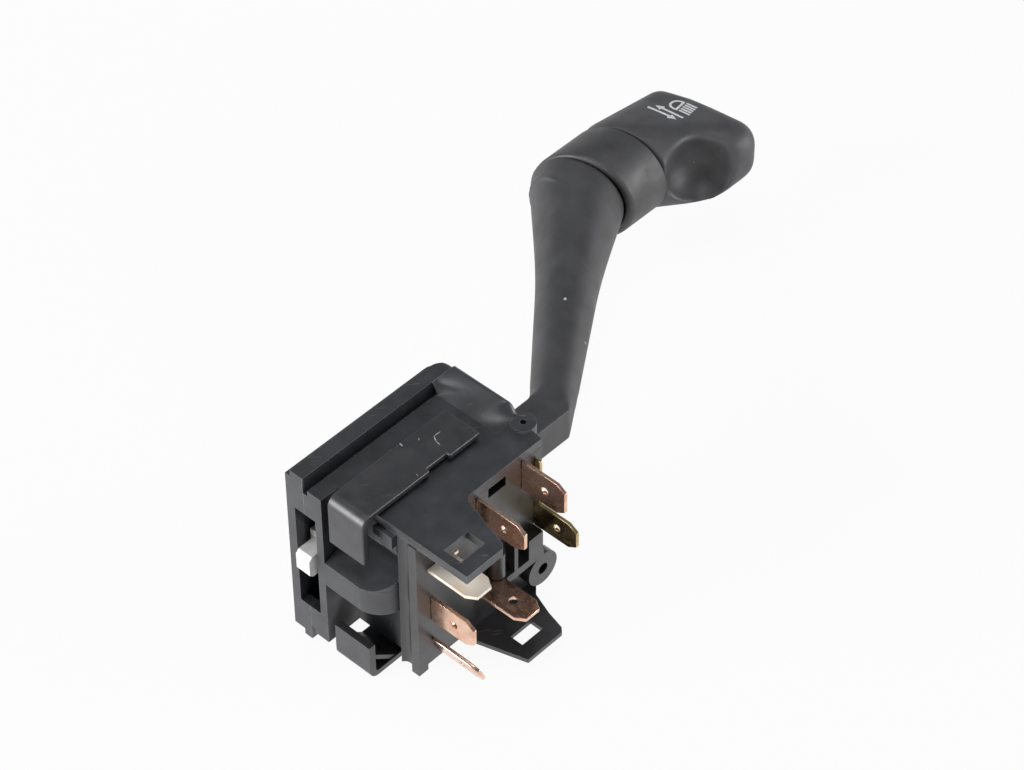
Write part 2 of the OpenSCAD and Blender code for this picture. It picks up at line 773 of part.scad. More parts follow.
// Strap with a bent leg, in the XZ plane with the leg hanging from z = 0
module latch_outline(leg) {
    bend_r = 2.4;
    leg_t = latch_t + 0.3;
    difference() {
        union() {
            translate([bend_r, -latch_t]) square([latch_l - bend_r, latch_t]);
            translate([0, -leg]) square([leg_t, leg - bend_r + eps]);
            translate([bend_r, -bend_r]) circle(bend_r);
        }
        translate([leg_t, -leg - 1]) square([latch_l, leg + 1 - latch_t]);
    }
    translate([leg_t - eps, -latch_t - 0.8]) difference() {
        square([0.8 + eps, 0.8 + eps]);
        translate([0.8 + eps, 0]) circle(0.8);
    }
}

// Spring latch on the top plate
module top_latch() {
    color([0.14, 0.14, 0.15])
    difference() {
        slab_y(latch_y0, latch_y1)
            translate([left_x, top_z + latch_gap + latch_t])
                latch_outline(top_leg + latch_gap + latch_t);
        block(-2.4, 3, latch_y0 - eps, latch_y0 + 0.9, top_z, top_z + 4);
    }
}

// Spring latch under the bottom plate, with a slanted web behind its leg
module bottom_latch() {
    drop = top_z + lower_gap + latch_t;
    color([0.14, 0.14, 0.15])
    union() {
        slab_y(latch_y0 - 0.3, latch_y1 - 0.3) mirror([0, 1])
            translate([left_x, drop]) latch_outline(bottom_leg + lower_gap + latch_t);
        slab_y(latch_y0, latch_y1 - 0.6) polygon([
            [left_x + 1.2, -in_z + 0.6], [left_x + 1.2, -in_z + 1.8],
            [left_x + 7.6, -drop + latch_t - 0.3], [left_x + 6.2, -drop + latch_t - 0.3]
        ]);
    }
}

// Swinging carrier: frame, trunnions, pawl channel, plunger tube and drive pin
module yoke() {
    color([0.86, 0.86, 0.84])
    difference() {
        union() {
            block(frame_x0, frame_x1, frame_rear, frame_front, -frame_h / 2, frame_h / 2);
            rod_y(frame_front - eps, trunnion_front, pivot_x, 0, trunnion_d);
            rod_y(trunnion_rear, frame_rear + eps, pivot_x, 0, trunnion_d);
            rod_y(slider_rear + 0.1, frame_rear + eps, pivot_x + drive_r, 0, drive_d);
            rod_x(tube_x, frame_x0 + eps, lever_y, 0, tube_d);
            channel();
        }
        block(pocket_x0, frame_x1 + eps, lever_y - pocket_w / 2, lever_y + pocket_w / 2,
              -pocket_h / 2, pocket_h / 2);
        rod_z(-frame_h, frame_h, pivot_x, lever_y, pin_d + 0.04);
        rod_x(tube_x - eps, tube_floor, lever_y, 0, plunger_d + 2 * run_gap);
        block(pivot_x - finger_r - 1.5, pivot_x - finger_r + 2.7, frame_rear - eps,
              frame_rear + frame_wall + eps, -finger_d / 2 - 0.3, finger_d / 2 + 0.3);
    }
}

// Square tube that guides the pawl, open towards the end face
module channel() {
    inner_w = pawl_w + 2 * seat_gap;
    outer_w = inner_w + 2 * channel_wall;
    back_x = channel_x1 + 1.2;
    difference() {
        union() {
            block(channel_x0, back_x, pawl_y - outer_w / 2, pawl_y + outer_w / 2,
                  -channel_h / 2 - channel_cap, channel_h / 2 + channel_cap);
            block(back_x - 1.8, frame_x0 + 3.8, frame_front - 1, pawl_y + inner_w / 2,
                  -channel_h / 2 - channel_cap, channel_h / 2 + channel_cap);
        }
        block(channel_x0 + channel_lip, channel_x1, pawl_y - inner_w / 2, pawl_y + inner_w / 2,
              -channel_h / 2, channel_h / 2);
        block(channel_x0 - eps, channel_x0 + channel_lip + eps, pawl_y - inner_w / 2,
              pawl_y + inner_w / 2, -pawl_h / 2 - seat_gap, pawl_h / 2 + seat_gap);
    }
}

// Pin that hinges the lever in the yoke
module hinge_pin() {
    color("silver") rod_z(-frame_h / 2, frame_h / 2, pivot_x, lever_y, pin_d);
}

// Cancelling pawl with a chamfered nose and a retaining shoulder
module pawl() {
    c = 0.8;
    h = pawl_h / 2;
    s = shoulder_h / 2;
    color([0.93, 0.93, 0.92])
    slab_y(pawl_y - pawl_w / 2, pawl_y + pawl_w / 2)
        polygon([
            [pawl_tip, -h + c], [pawl_tip + c, -h], [shoulder_x0, -h], [shoulder_x0, -s],
            [shoulder_x1, -s], [shoulder_x1, -h], [pawl_tail, -h], [pawl_tail, h],
            [shoulder_x1, h], [shoulder_x1, s], [shoulder_x0, s], [shoulder_x0, h],
            [pawl_tip + c, h], [pawl_tip, h - c]
        ]);
}

// Spring behind the pawl
module pawl_spring() {
    color("silver") translate([pawl_tail + 0.05, pawl_y, 0]) rotate([0, 90, 0])
        coil(channel_x1 - pawl_tail - 0.1, 3.2, 0.4, 6);
}

// Round-nosed plunger that rides on the detent track
module turn_plunger() {
    r = plunger_d / 2;
    color("silver") union() {
        translate([plunger_tip + r, lever_y, 0]) sphere(r);
        rod_x(plunger_tip + r, plunger_tip + plunger_l, lever_y, 0, plunger_d);
    }
}

// Spring behind the turn plunger
module turn_spring() {
    x0 = plunger_tip + plunger_l;
    color("silver") translate([x0 + 0.03, lever_y, 0]) rotate([0, 90, 0])
        coil(tube_floor - x0 - 0.06, 2.4, 0.35, 4);
}

// Slide that carries the turn contacts, driven by the yoke's pin
module turn_slider() {
    color([0.82, 0.8, 0.74])
    difference() {
        block(slider_x0, slider_x1, slider_rear, slider_front, -slider_h / 2, slider_h / 2);
        block(pivot_x + drive_r - drive_d / 2 - 0.5, pivot_x + drive_r + drive_d / 2 + 0.3,
              slider_rear - eps, slider_front + eps, -drive_d / 2 - 0.1, drive_d / 2 + 0.1);
    }
}

// Contact leaf on the turn slide
module turn_wiper() {
    mid = (slider_x0 + slider_x1) / 2;
    color(brass) {
        for (s = [-1, 1])
            block(mid - 1.8, mid + 1.8, slider_rear - turn_wiper_t, slider_rear - 0.02,
                  s * 5 - 2.6, s * 5 + 2.6);
        block(mid + 1.2, mid + 1.8, slider_rear - turn_wiper_t, slider_rear - 0.02, -5, 5);
    }
}

// Plate and stem that the lever's finger pushes back
module dip_slider() {
    color([0.82, 0.8, 0.74]) union() {
        block(dip_x0, dip_x1, dip_rear, dip_front, -dip_h / 2, dip_h / 2);
        rod_y(stem_end, dip_rear + eps, stem_x, 0, stem_d);
    }
}

// Contact leaves on the dip slide
module dip_wiper() {
    color(brass) {
        for (s = [-1, 1])
            block(dip_x0 + 0.3, dip_x1 - 0.4, dip_rear - dip_wiper_t, dip_rear - 0.02,
                  s * (dip_h / 2 - 0.7) - 0.5, s * (dip_h / 2 - 0.7) + 0.5);
        block(dip_x0 + 0.3, dip_x0 + 1.1, dip_rear - dip_wiper_t, dip_rear - 0.02,
              -dip_h / 2 + 0.7, dip_h / 2 - 0.7);
    }
}

// Return spring round the dip slide's stem
module dip_spring() {
    color("silver") translate([stem_x, dip_rear - 0.05, 0]) rotate([90, 0, 0])
        coil(dip_rear - spring_hole_y - 0.1, 5.6, 0.5, 4);
}

// Half space beyond the mitre between arm and sleeve, as a large block
module beyond_mitre(shift) {
    translate([elbow_x, grip_y, 0]) rotate([0, 0, mitre_angle])
        translate([shift, -60, -60]) cube([120, 120, 120]);
}

// Round part of the arm from its bend to just past the mitre
module arm_cone() {
    flare = arm_l - arm_mid_at;
    flare_r = (arm_end_d - arm_mid_d) / 2;
    mid_r = arm_mid_d / 2;
    end_r = arm_end_d / 2;
    translate([bend_x, lever_y, 0]) rotate([0, 0, arm_angle]) rotate([0, 90, 0])
        rotate_extrude() polygon([
            [0, 0], [arm_root_d / 2, 0], [mid_r, arm_mid_at],
            [mid_r + 0.25 * flare_r, arm_mid_at + 0.34 * flare],
            [mid_r + 0.58 * flare_r, arm_mid_at + 0.68 * flare],
            [end_r, arm_l], [end_r + 0.2, arm_l + arm_over], [0, arm_l + arm_over]
        ]);
}

// Lever: hinged core, square stub and flared arm
module lever_arm() {
    finger_x = pivot_x - finger_r;
    color([0.15, 0.15, 0.16])
    difference() {
        union() {
            block(tail_x, step_x + eps, lever_y - core_w / 2, lever_y + core_w / 2,
                  -core_h / 2, core_h / 2);
            block(step_x, bend_x, lever_y - stub_w / 2, lever_y + stub_w / 2,
                  -stub_h / 2, stub_h / 2);
            rod_y(finger_tip, lever_y, finger_x, 0, finger_d);
            bend_block();
            difference() {
                arm_cone();
                beyond_mitre(seam_shift);
            }
            intersection() {
                rod_x(elbow_x - 12, spigot_x, grip_y, 0, sleeve_bore - 2 * seat_gap);
                beyond_mitre(seam_shift - 0.3);
            }
        }
        rod_z(-stub_h, stub_h, pivot_x, lever_y, pin_d + 2 * run_gap);
        rod_x(step_x + 2, bend_x + 2, lever_y, 0, lead_bore);
        translate([bend_x, lever_y, 0]) rotate([0, 0, arm_angle])
            rod_x(0, arm_l + 12, 0, 0, lead_bore);
        rod_x(elbow_x - 2, spigot_x + eps, grip_y, 0, sleeve_bore - 4);
    }
}

// Blend from the square stub into the round arm
module bend_block() {
    hull() {
        block(bend_x - 2, bend_x + 0.8, lever_y - stub_w / 2, lever_y + stub_w / 2,
              -stub_h / 2, stub_h / 2);
        translate([bend_x, lever_y, 0]) rotate([0, 0, arm_angle]) rotate([0, 90, 0])
            translate([0, 0, 2]) cylinder(h = 3, d = arm_root_d + 0.2, $fn = round_fn);
    }
}

// Children drawn along the knob's own axis, from the end face of the sleeve
module along_knob() {
    translate([ring_x, grip_y, 0]) rotate([0, 0, knob_angle]) children();
}

// Sleeve between the arm and the knob, with an end wall that carries the axle
module grip_sleeve() {
    far = 30;
    color([0.15, 0.15, 0.16])
    difference() {
        intersection() {
            rod_x(elbow_x - 14, ring_x + far, grip_y, 0, sleeve_d);
            beyond_mitre(seam_shift + seat_gap);
            along_knob() block(-2 * far, 0, -far, far, -far, far);
        }
        intersection() {
            rod_x(elbow_x - 15, ring_x + far, grip_y, 0, sleeve_bore);
            along_knob() block(-2 * far, -end_wall_t, -far, far, -far, far);
        }
        along_knob() rod_x(-end_wall_t - 1, 1, 0, 0, axle_d + 2 * run_gap);
    }
}

// Fixed contact plate in the sleeve
module light_contacts() {
    far = 30;
    color([0.55, 0.4, 0.25])
    difference() {
        intersection() {
            rod_x(elbow_x, ring_x + far, grip_y, 0, sleeve_bore - 2 * seat_gap);
            along_knob() block(contact_at, contact_at + contact_t, -far, far, -far, far);
        }
        for (s = [-1, 1]) rod_x(elbow_x, ring_x, grip_y, s * 0.8, lead_d + 0.1);
    }
}

// Round wire with mitred bends: points [x, y] at height z, and the wire's heading at each ring
module wire(points, headings, z, d) {
    sides = 12;
    rings = len(points);
    heading_in = [for (i = [0:rings - 1]) headings[max(i - 1, 0)]];
    heading_out = [for (i = [0:rings - 1]) headings[min(i, rings - 2)]];
    skin_points = [
        for (i = [0:rings - 1])
            let (a = (heading_in[i] + heading_out[i]) / 2,
                 stretch = 1 / cos((heading_out[i] - heading_in[i]) / 2))
                for (j = [0:sides - 1])
                    let (b = 360 * j / sides, side = d / 2 * cos(b) * stretch)
                        [points[i][0] - side * sin(a), points[i][1] + side * cos(a),
                         z + d / 2 * sin(b)]
    ];
    walls = [
        for (i = [0:rings - 2])
            for (j = [0:sides - 1])
                let (k = (j + 1) % sides)
                    [i * sides + j, i * sides + k, (i + 1) * sides + k, (i + 1) * sides + j]
    ];
    first_end = [for (j = [sides - 1:-1:0]) j];
    last_end = [for (j = [0:sides - 1]) (rings - 1) * sides + j];
    polyhedron(skin_points, concat(walls, [first_end, last_end]), convexity = 4);
}

// Two leads inside the arm and stub
module light_leads() {
    lead_end = ring_x + contact_at + 0.5;
    color([0.6, 0.15, 0.12]) for (s = [-1, 1])
        wire([[step_x + 3, lever_y], [bend_x, lever_y], [elbow_x, grip_y], [lead_end, grip_y]],
             [0, arm_angle, 0], s * 0.8, lead_d);
}

// Places of the knob's round corners in its own frame
knob_half = wing_h / 2 - knob_round;
knob_tip = knob_end - knob_round;
knob_rear = -wing_reach + knob_round;

// Pair of balls above and below the lever's plane
module ball_pair(x, y, r) {
    for (s = [-1, 1]) translate([x, y, s * knob_half]) sphere(r, $fn = round_fn);
}

// Outer form of the knob in its own frame
module knob_form() {
    hull() {
        rod_x(knob_start, knob_start + disc_l, 0, 0, knob_disc_d, $fn = round_fn);
        ball_pair(knob_tip - 0.3, -0.4, knob_round);
        ball_pair(knob_tip + 0.1, -5.8, knob_round);
        ball_pair(knob_tip - 0.2, -10.8, knob_round);
        ball_pair(knob_tip - 0.9, knob_rear, knob_round);
        ball_pair(knob_start + 8.1, knob_rear + 2.5, knob_round);
    }
}

// Moulded-out inside of the knob
module knob_inside() {
    r = knob_round - knob_wall;
    hull() {
        rod_x(knob_start + disc_l - 1, knob_start + disc_l, 0, 0, knob_disc_d - 4 * knob_wall,
              $fn = round_fn);
        ball_pair(knob_tip - 0.5, -1.4, r);
        ball_pair(knob_tip - 0.3, -9.2, r);
    }
}

// Hollow for a finger between the disc and the wing
module finger_hollow() {
    translate([knob_start + 4.1, -wing_reach + 5.8, 3]) sphere(hollow_r);
}

// Hollow winged knob
module knob_shell() {
    color([0.15, 0.15, 0.16])
    along_knob() difference() {
        union() {
            difference() {
                knob_form();
                finger_hollow();
            }
            rod_x(knob_start, knob_start + disc_l, 0, 0, knob_disc_d + 0.02);
        }
        knob_inside();
        rod_x(knob_start - 1, knob_start + disc_l, 0, 0, knob_disc_d - 2 * knob_wall);
    }
}

// Axle with the disc that closes the knob
module knob_axle() {
    color([0.2, 0.2, 0.21])
    along_knob() difference() {
        union() {
            rod_x(axle_end, knob_start + disc_l, 0, 0, axle_d);
            rod_x(knob_start + 0.2, knob_start + disc_l, 0, 0,
                  knob_disc_d - 2 * knob_wall - 2 * seat_gap);
        }
        difference() {
            rod_x(clip_at, clip_at + clip_t + 0.1, 0, 0, axle_d + 1);
            rod_x(clip_at - eps, clip_at + clip_t + 0.2, 0, 0, axle_d - 2 * clip_groove);
        }
    }
}

// Open ring that keeps the axle in the sleeve
module knob_clip() {
    inner_d = axle_d - 2 * clip_groove + 0.1;
    color("silver")
    along_knob() difference() {
        rod_x(clip_at + 0.05, clip_at + clip_t, 0, 0, axle_d + 4);
        rod_x(clip_at, clip_at + clip_t + eps, 0, 0, inner_d);
        block(clip_at, clip_at + clip_t + eps, -1.6, 1.6, 0, axle_d);
    }
}

// Turning contact on the axle's end
module light_wiper() {
    x0 = axle_end - 0.45;
    color(brass)
    along_knob() union() {
        rod_x(x0, axle_end - 0.02, 0, 0, axle_d);
        block(x0, axle_end - 0.02, -6.5, 6.5, -1.2, 1.2);
    }
}

front_cover();
base_housing();
contact_carrier();
detent_cam();
terminal_1();
terminal_2();
terminal_3();
terminal_4();
terminal_5();
terminal_6();
terminal_7();
terminal_8();
top_latch();
bottom_latch();
yoke();
hinge_pin();
pawl();
pawl_spring();
turn_plunger();
turn_spring();
turn_slider();
turn_wiper();
dip_slider();
dip_wiper();
dip_spring();
lever_arm();
grip_sleeve();
light_contacts();
light_leads();
knob_shell();
knob_axle();
knob_clip();
light_wiper();
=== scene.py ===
"""Looks of the combination stalk switch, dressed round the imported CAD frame.

Lengths are metres in the frame's own axes: +X runs out along the lever, +Y faces the driver
and +Z is up. Sizes are written in millimetres and turned into metres by the constant MM.
"""

import logging
import math
from collections.abc import Callable
from dataclasses import dataclass, field
from enum import Enum
from functools import cache

import bmesh
import bpy
from mathutils import Matrix, Vector
from mathutils.bvhtree import BVHTree


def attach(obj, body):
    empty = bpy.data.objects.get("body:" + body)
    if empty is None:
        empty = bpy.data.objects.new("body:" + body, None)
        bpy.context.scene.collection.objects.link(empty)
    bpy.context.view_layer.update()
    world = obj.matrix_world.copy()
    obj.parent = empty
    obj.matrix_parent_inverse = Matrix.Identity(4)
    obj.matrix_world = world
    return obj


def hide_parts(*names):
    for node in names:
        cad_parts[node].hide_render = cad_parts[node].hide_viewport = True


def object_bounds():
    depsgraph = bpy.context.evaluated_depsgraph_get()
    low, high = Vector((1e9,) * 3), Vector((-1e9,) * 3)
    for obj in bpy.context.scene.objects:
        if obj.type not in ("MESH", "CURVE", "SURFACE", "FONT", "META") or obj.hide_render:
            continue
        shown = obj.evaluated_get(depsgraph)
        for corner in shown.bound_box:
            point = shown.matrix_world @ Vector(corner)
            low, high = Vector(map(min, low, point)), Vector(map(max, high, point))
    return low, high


log = logging.getLogger("stalk_switch")
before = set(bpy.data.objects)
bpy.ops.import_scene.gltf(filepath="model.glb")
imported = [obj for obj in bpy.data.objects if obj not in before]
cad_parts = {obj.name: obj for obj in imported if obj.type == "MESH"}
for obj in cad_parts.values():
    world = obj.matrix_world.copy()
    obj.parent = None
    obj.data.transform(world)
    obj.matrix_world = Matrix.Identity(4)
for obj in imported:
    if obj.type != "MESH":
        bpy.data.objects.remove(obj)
CAD_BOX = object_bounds()

MM = 0.001
WELD = 0.001 * MM
X_AXIS = Vector((1, 0, 0))
Z_AXIS = Vector((0, 0, 1))
Shade = tuple[int, int, int]
Span = tuple[float, float]
Triple = tuple[float, float, float]
Mesh = bmesh.types.BMesh
Socket = bpy.types.NodeSocket
Material = bpy.types.Material

DUST_SHADE: Shade = (190, 190, 188)
NICK_SHADE: Shade = (206, 208, 208)
NOISE_SPAN: Span = (0.3, 0.7)
PLASTIC_IOR = 1.5


def point(x: float, y: float, z: float) -> Vector:
    """A place given in millimetres."""
    return Vector((x, y, z)) * MM


def linear(shade: Shade) -> tuple[float, float, float, float]:
    """The linear colour of a screen shade of 0 to 255, by the sRGB curve, with full alpha."""
    parts = [c / 255 for c in shade]
    lit = [c / 12.92 if c <= 0.04045 else ((c + 0.055) / 1.055) ** 2.4 for c in parts]
    return (*lit, 1.0)


# ---- finishes


class Graph:
    """A material's node tree, with short calls for the nodes that the finishes use."""

    edge_cosines: Span = (0.995, 0.8)
    edge_samples = 6
    speck_core = 0.6
    speck_margin = 0.01
    mark_core = 0.55

    def __init__(self, name: str) -> None:
        """Starts an empty material."""
        self.material = bpy.data.materials.new(name)
        self.material.use_nodes = True
        self.tree = self.material.node_tree
        self.tree.nodes.clear()
        self.output = self.tree.nodes.new("ShaderNodeOutputMaterial")
        self.coords = self.tree.nodes.new("ShaderNodeTexCoord").outputs["Object"]

    def node(self, kind: str, **settings: object) -> bpy.types.Node:
        """Adds a node and sets its properties."""
        made = self.tree.nodes.new(kind)
        for key, value in settings.items():
            setattr(made, key, value)
        return made

    def link(self, source: Socket, target: Socket) -> None:
        """Joins two sockets."""
        self.tree.links.new(source, target)

    def feed(self, target: Socket, value: object) -> None:
        """Joins another socket to a socket, or sets its value."""
        if isinstance(value, Socket):
            self.link(value, target)
        else:
            target.default_value = value

    def mapped(self, stretch: Triple, turn: float = 0.0) -> Socket:
        """Object coordinates turned about Z, in degrees, and then scaled along each axis."""
        turned = self.node("ShaderNodeMapping")
        turned.inputs["Rotation"].default_value[2] = math.radians(turn)
        self.link(self.coords, turned.inputs["Vector"])
        scaled = self.node("ShaderNodeMapping")
        scaled.inputs["Scale"].default_value = stretch
        self.link(turned.outputs["Vector"], scaled.inputs["Vector"])
        return scaled.outputs["Vector"]

    def noise(self, size: float, detail: float = 3.0, place: Socket | None = None) -> Socket:
        """Noise of 0 to 1 with lumps of a size in metres and a number of finer layers."""
        made = self.node("ShaderNodeTexNoise")
        made.inputs["Scale"].default_value = 1 / size
        made.inputs["Detail"].default_value = detail
        self.link(place or self.coords, made.inputs["Vector"])
        return made.outputs["Fac"]

    def ramp(
        self, source: Socket, low: float, high: float, a: float = 0.0, b: float = 1.0
    ) -> Socket:
        """Carries a value from low..high to a..b, and holds it at the ends."""
        made = self.node("ShaderNodeMapRange", clamp=True)
        levels = {"From Min": low, "From Max": high, "To Min": a, "To Max": b}
        for key, value in levels.items():
            made.inputs[key].default_value = value
        self.link(source, made.inputs["Value"])
        return made.outputs["Result"]

    def math(self, operation: str, a: Socket, b: Socket | float) -> Socket:
        """Two values joined by a maths operation."""
        made = self.node("ShaderNodeMath", operation=operation)
        self.link(a, made.inputs[0])
        self.feed(made.inputs[1], b)
        return made.outputs[0]

    def mix(self, share: Socket, a: Socket | Shade, b: Socket | Shade) -> Socket:
        """Two colours mixed by a share of the second."""
        made = self.node("ShaderNodeMix", data_type="RGBA")
        self.link(share, made.inputs[0])
        for value, target in ((a, made.inputs[6]), (b, made.inputs[7])):
            self.feed(target, linear(value) if isinstance(value, tuple) else value)
        return made.outputs[2]

    # The finishes use this mask for pale edges that are partly wear and partly a painted
    # highlight.
    def edges(self, radius: float) -> Socket:
        """How close a point is to a convex or concave edge, 0 on flats."""
        rounded = self.node("ShaderNodeBevel", samples=self.edge_samples)
        rounded.inputs["Radius"].default_value = radius
        flat = self.node("ShaderNodeNewGeometry")
        dot = self.node("ShaderNodeVectorMath", operation="DOT_PRODUCT")
        self.link(rounded.outputs["Normal"], dot.inputs[0])
        self.link(flat.outputs["Normal"], dot.inputs[1])
        return self.ramp(dot.outputs["Value"], *self.edge_cosines)

    def bump(self, height: Socket, depth: float, under: Socket | None = None) -> Socket:
        """A normal bumped by a height of 0 to 1 times a depth, over a layer below."""
        made = self.node("ShaderNodeBump")
        made.inputs["Distance"].default_value = depth
        self.link(height, made.inputs["Height"])
        if under:
            self.link(under, made.inputs["Normal"])
        return made.outputs["Normal"]

    def specks(self, spacing: float, size: float, share: float) -> Socket:
        """Small round specks scattered over the surface.

        Args:
            spacing: Size of a cell that may hold a speck.
            size: Size of a speck as a share of its cell.
            share: Share of the cells that hold one.

        Returns:
            1 on a speck and 0 elsewhere.
        """
        cells = self.node("ShaderNodeTexVoronoi", feature="F1")
        cells.inputs["Scale"].default_value = 1 / spacing
        self.link(self.coords, cells.inputs["Vector"])
        near = self.ramp(cells.outputs["Distance"], size, size * self.speck_core)
        pick = self.node("ShaderNodeSeparateColor")
        self.link(cells.outputs["Color"], pick.inputs["Color"])
        least = 1 - share
        chosen = self.ramp(pick.outputs["Red"], least, least + self.speck_margin)
        return self.math("MULTIPLY", near, chosen)

    def mark(self, centre: Vector, half: Vector, turn: float) -> Socket:
        """A small stretched mark at a place.

        Args:
            centre: Middle of the mark.
            half: Half its length, width and depth.
            turn: Turn of its length about Z, in degrees.

        Returns:
            1 inside the mark and 0 outside.
        """
        local = self.node("ShaderNodeMapping", vector_type="TEXTURE")
        local.inputs["Location"].default_value = centre
        local.inputs["Rotation"].default_value[2] = math.radians(turn)
        local.inputs["Scale"].default_value = half
        self.link(self.coords, local.inputs["Vector"])
        reach = self.node("ShaderNodeVectorMath", operation="LENGTH")
        self.link(local.outputs["Vector"], reach.inputs[0])
        return self.ramp(reach.outputs["Value"], 1.0, self.mark_core)

    def surface(self, **sockets: object) -> None:
        """Adds the shader and joins it to the output."""
        shader = self.node("ShaderNodeBsdfPrincipled")
        for key, value in sockets.items():
            self.feed(shader.inputs[key.replace("_", " ")], value)
        self.link(shader.outputs["BSDF"], self.output.inputs["Surface"])


@dataclass(frozen=True)
class Mark:
    """A pale nick or scratch at a place, all in millimetres and degrees."""

    place: Triple
    length: float
    width: float
    turn: float = 0.0
    strength: float = 0.8
    half_depth: float = 0.6

    def mask(self, graph: Graph) -> Socket:
        """Makes the mark's mask in a material."""
        half = Vector((self.length / 2, self.width / 2, self.half_depth)) * MM
        seen = graph.mark(point(*self.place), half, self.turn)
        return graph.math("MULTIPLY", seen, self.strength)


@dataclass(frozen=True)
class Moulding:
    """Injection-moulded plastic: spark grain, pale edges that are partly rubbed wear and
    partly a painted highlight, dust and faint scuffs.
    """

    name: str
    shade: Shade
    # Paler tone of the scuffs and the edges; on the edges it is partly a painted highlight.
    bare_and_highlight_shade: Shade
    roughness: float = 0.42
    grain: float = 0.12 * MM
    grain_depth: float = 0.004 * MM
    edge_width: float = 0.16 * MM
    edge_strength: float = 0.6
    dust: float = 0.012
    scuffs: float = 0.35
    specular: float = 1.0
    marks: tuple[Mark, ...] = ()
    cloud: float = 6 * MM
    cloud_tones: Span = (0.82, 1.16)
    cloud_levels: Span = (0.35, 0.65)
    edge_breakup: float = 0.9 * MM
    edge_breakup_levels: Span = (0.3, 0.62)
    edge_breakup_least: float = 0.25
    streak_scale: Triple = (260, 2600, 260)
    streak_turn: float = 38
    streak_levels: Span = (0.66, 0.74)
    scuff_patch: float = 9 * MM
    scuff_levels: Span = (0.5, 0.62)
    scuff_matt: float = 0.12
    speck_spacing: float = 1.9 * MM
    speck_size: float = 0.07
    gloss_patch: float = 3.5 * MM
    gloss_spread: Span = (-0.06, 0.07)
    wave: float = 14 * MM
    wave_depth: float = 0.02 * MM

    def build(self) -> Material:
        """Makes the material of this plastic."""
        g = Graph(self.name)
        dim, bright = self.cloud_tones
        dark = tuple(int(c * dim) for c in self.shade)
        pale = tuple(min(int(c * bright) + 1, 255) for c in self.shade)
        colour = g.mix(g.ramp(g.noise(self.cloud, 4), *self.cloud_levels), dark, pale)
        # Pale band along the edges: partly rubbed wear, partly a painted highlight where
        # rounded edges catch the light.
        wear_and_highlight_breakup = g.ramp(g.noise(self.edge_breakup, 4), *self.edge_breakup_levels, self.edge_breakup_least, 1.0)
        edge = g.math("MULTIPLY", g.edges(self.edge_width), wear_and_highlight_breakup)
        colour = g.mix(g.math("MULTIPLY", edge, self.edge_strength), colour, self.bare_and_highlight_shade)
        streaks = g.noise(1.0, 2, g.mapped(self.streak_scale, self.streak_turn))
        patches = g.ramp(g.noise(self.scuff_patch, 2), *self.scuff_levels)
        scuff = g.math("MULTIPLY", g.ramp(streaks, *self.streak_levels), patches)
        colour = g.mix(g.math("MULTIPLY", scuff, self.scuffs), colour, self.bare_and_highlight_shade)
        speck = g.specks(self.speck_spacing, self.speck_size, self.dust)
        colour = g.mix(speck, colour, DUST_SHADE)
        for mark in self.marks:
            colour = g.mix(mark.mask(g), colour, NICK_SHADE)
        glossy, matt = (self.roughness + change for change in self.gloss_spread)
        gloss = g.math(
            "ADD",
            g.ramp(g.noise(self.gloss_patch, 5), *NOISE_SPAN, glossy, matt),
            g.math("MULTIPLY", scuff, self.scuff_matt),
        )
        grain = g.bump(g.noise(self.grain, 2), self.grain_depth)
        g.surface(
            Base_Color=colour,
            Roughness=gloss,
            Normal=g.bump(g.noise(self.wave, 1), self.wave_depth, grain),
            IOR=PLASTIC_IOR,
            Specular_IOR_Level=self.specular,
        )
        return g.material


@dataclass(frozen=True)
class Stamping:
    """Stamped sheet metal: rolling lines, a tarnished skin and bright edges that are partly
    sheared metal and partly a painted highlight.
    """

    name: str
    shade: Shade
    tarnish: Shade
    bare_and_highlight_shade: Shade
    roughness: float = 0.24
    metallic: float = 1.0
    cloud: float = 3.2 * MM
    cloud_levels: Span = (0.42, 0.68)
    line_scale: Triple = (9000, 450, 9000)
    line_depth: float = 0.004 * MM
    line_gloss: Span = (-0.03, 0.05)
    wave: float = 2.4 * MM
    wave_depth: float = 0.03 * MM
    edge_width: float = 0.14 * MM
    edge_strength: float = 0.75
    gloss_patch: float = 1.6 * MM
    gloss_spread: Span = (-0.07, 0.09)

    def build(self) -> Material:
        """Makes the material of this metal."""
        g = Graph(self.name)
        cloud = g.ramp(g.noise(self.cloud, 5), *self.cloud_levels)
        colour = g.mix(cloud, self.shade, self.tarnish)
        rolled = g.noise(1.0, 3, g.mapped(self.line_scale))
        # Bright band along the edges: partly bare sheared metal, partly a painted highlight.
        edge = g.math("MULTIPLY", g.edges(self.edge_width), self.edge_strength)
        colour = g.mix(edge, colour, self.bare_and_highlight_shade)
        glossy, matt = (self.roughness + change for change in self.gloss_spread)
        gloss = g.math(
            "ADD",
            g.ramp(g.noise(self.gloss_patch, 4), *NOISE_SPAN, glossy, matt),
            g.ramp(rolled, *NOISE_SPAN, *self.line_gloss),
        )
        lines = g.bump(rolled, self.line_depth)
        normal = g.bump(g.noise(self.wave, 1), self.wave_depth, lines)
        g.surface(Base_Color=colour, Metallic=self.metallic, Roughness=gloss, Normal=normal)
        return g.material


@dataclass(frozen=True)
class PrintedInk:
    """White pad-printed ink, a little thin and worn at its rims."""

    name: str
    shade: Shade
    worn: Shade
    patch: float = 0.5 * MM
    worn_levels: Span = (0.46, 0.72)
    most_worn: float = 0.5
    gloss_patch: float = 0.8 * MM
    gloss: Span = (0.45, 0.62)
    thickness: float = 0.01 * MM

    def build(self) -> Material:
        """Makes the material of the printed symbols."""
        g = Graph(self.name)
        thin = g.ramp(g.noise(self.patch, 4), *self.worn_levels, 0.0, self.most_worn)
        colour = g.mix(thin, self.shade, self.worn)
        gloss = g.ramp(g.noise(self.gloss_patch, 3), *NOISE_SPAN, *self.gloss)
        g.surface(Base_Color=colour, Roughness=gloss, Normal=g.bump(thin, self.thickness))
        return g.material


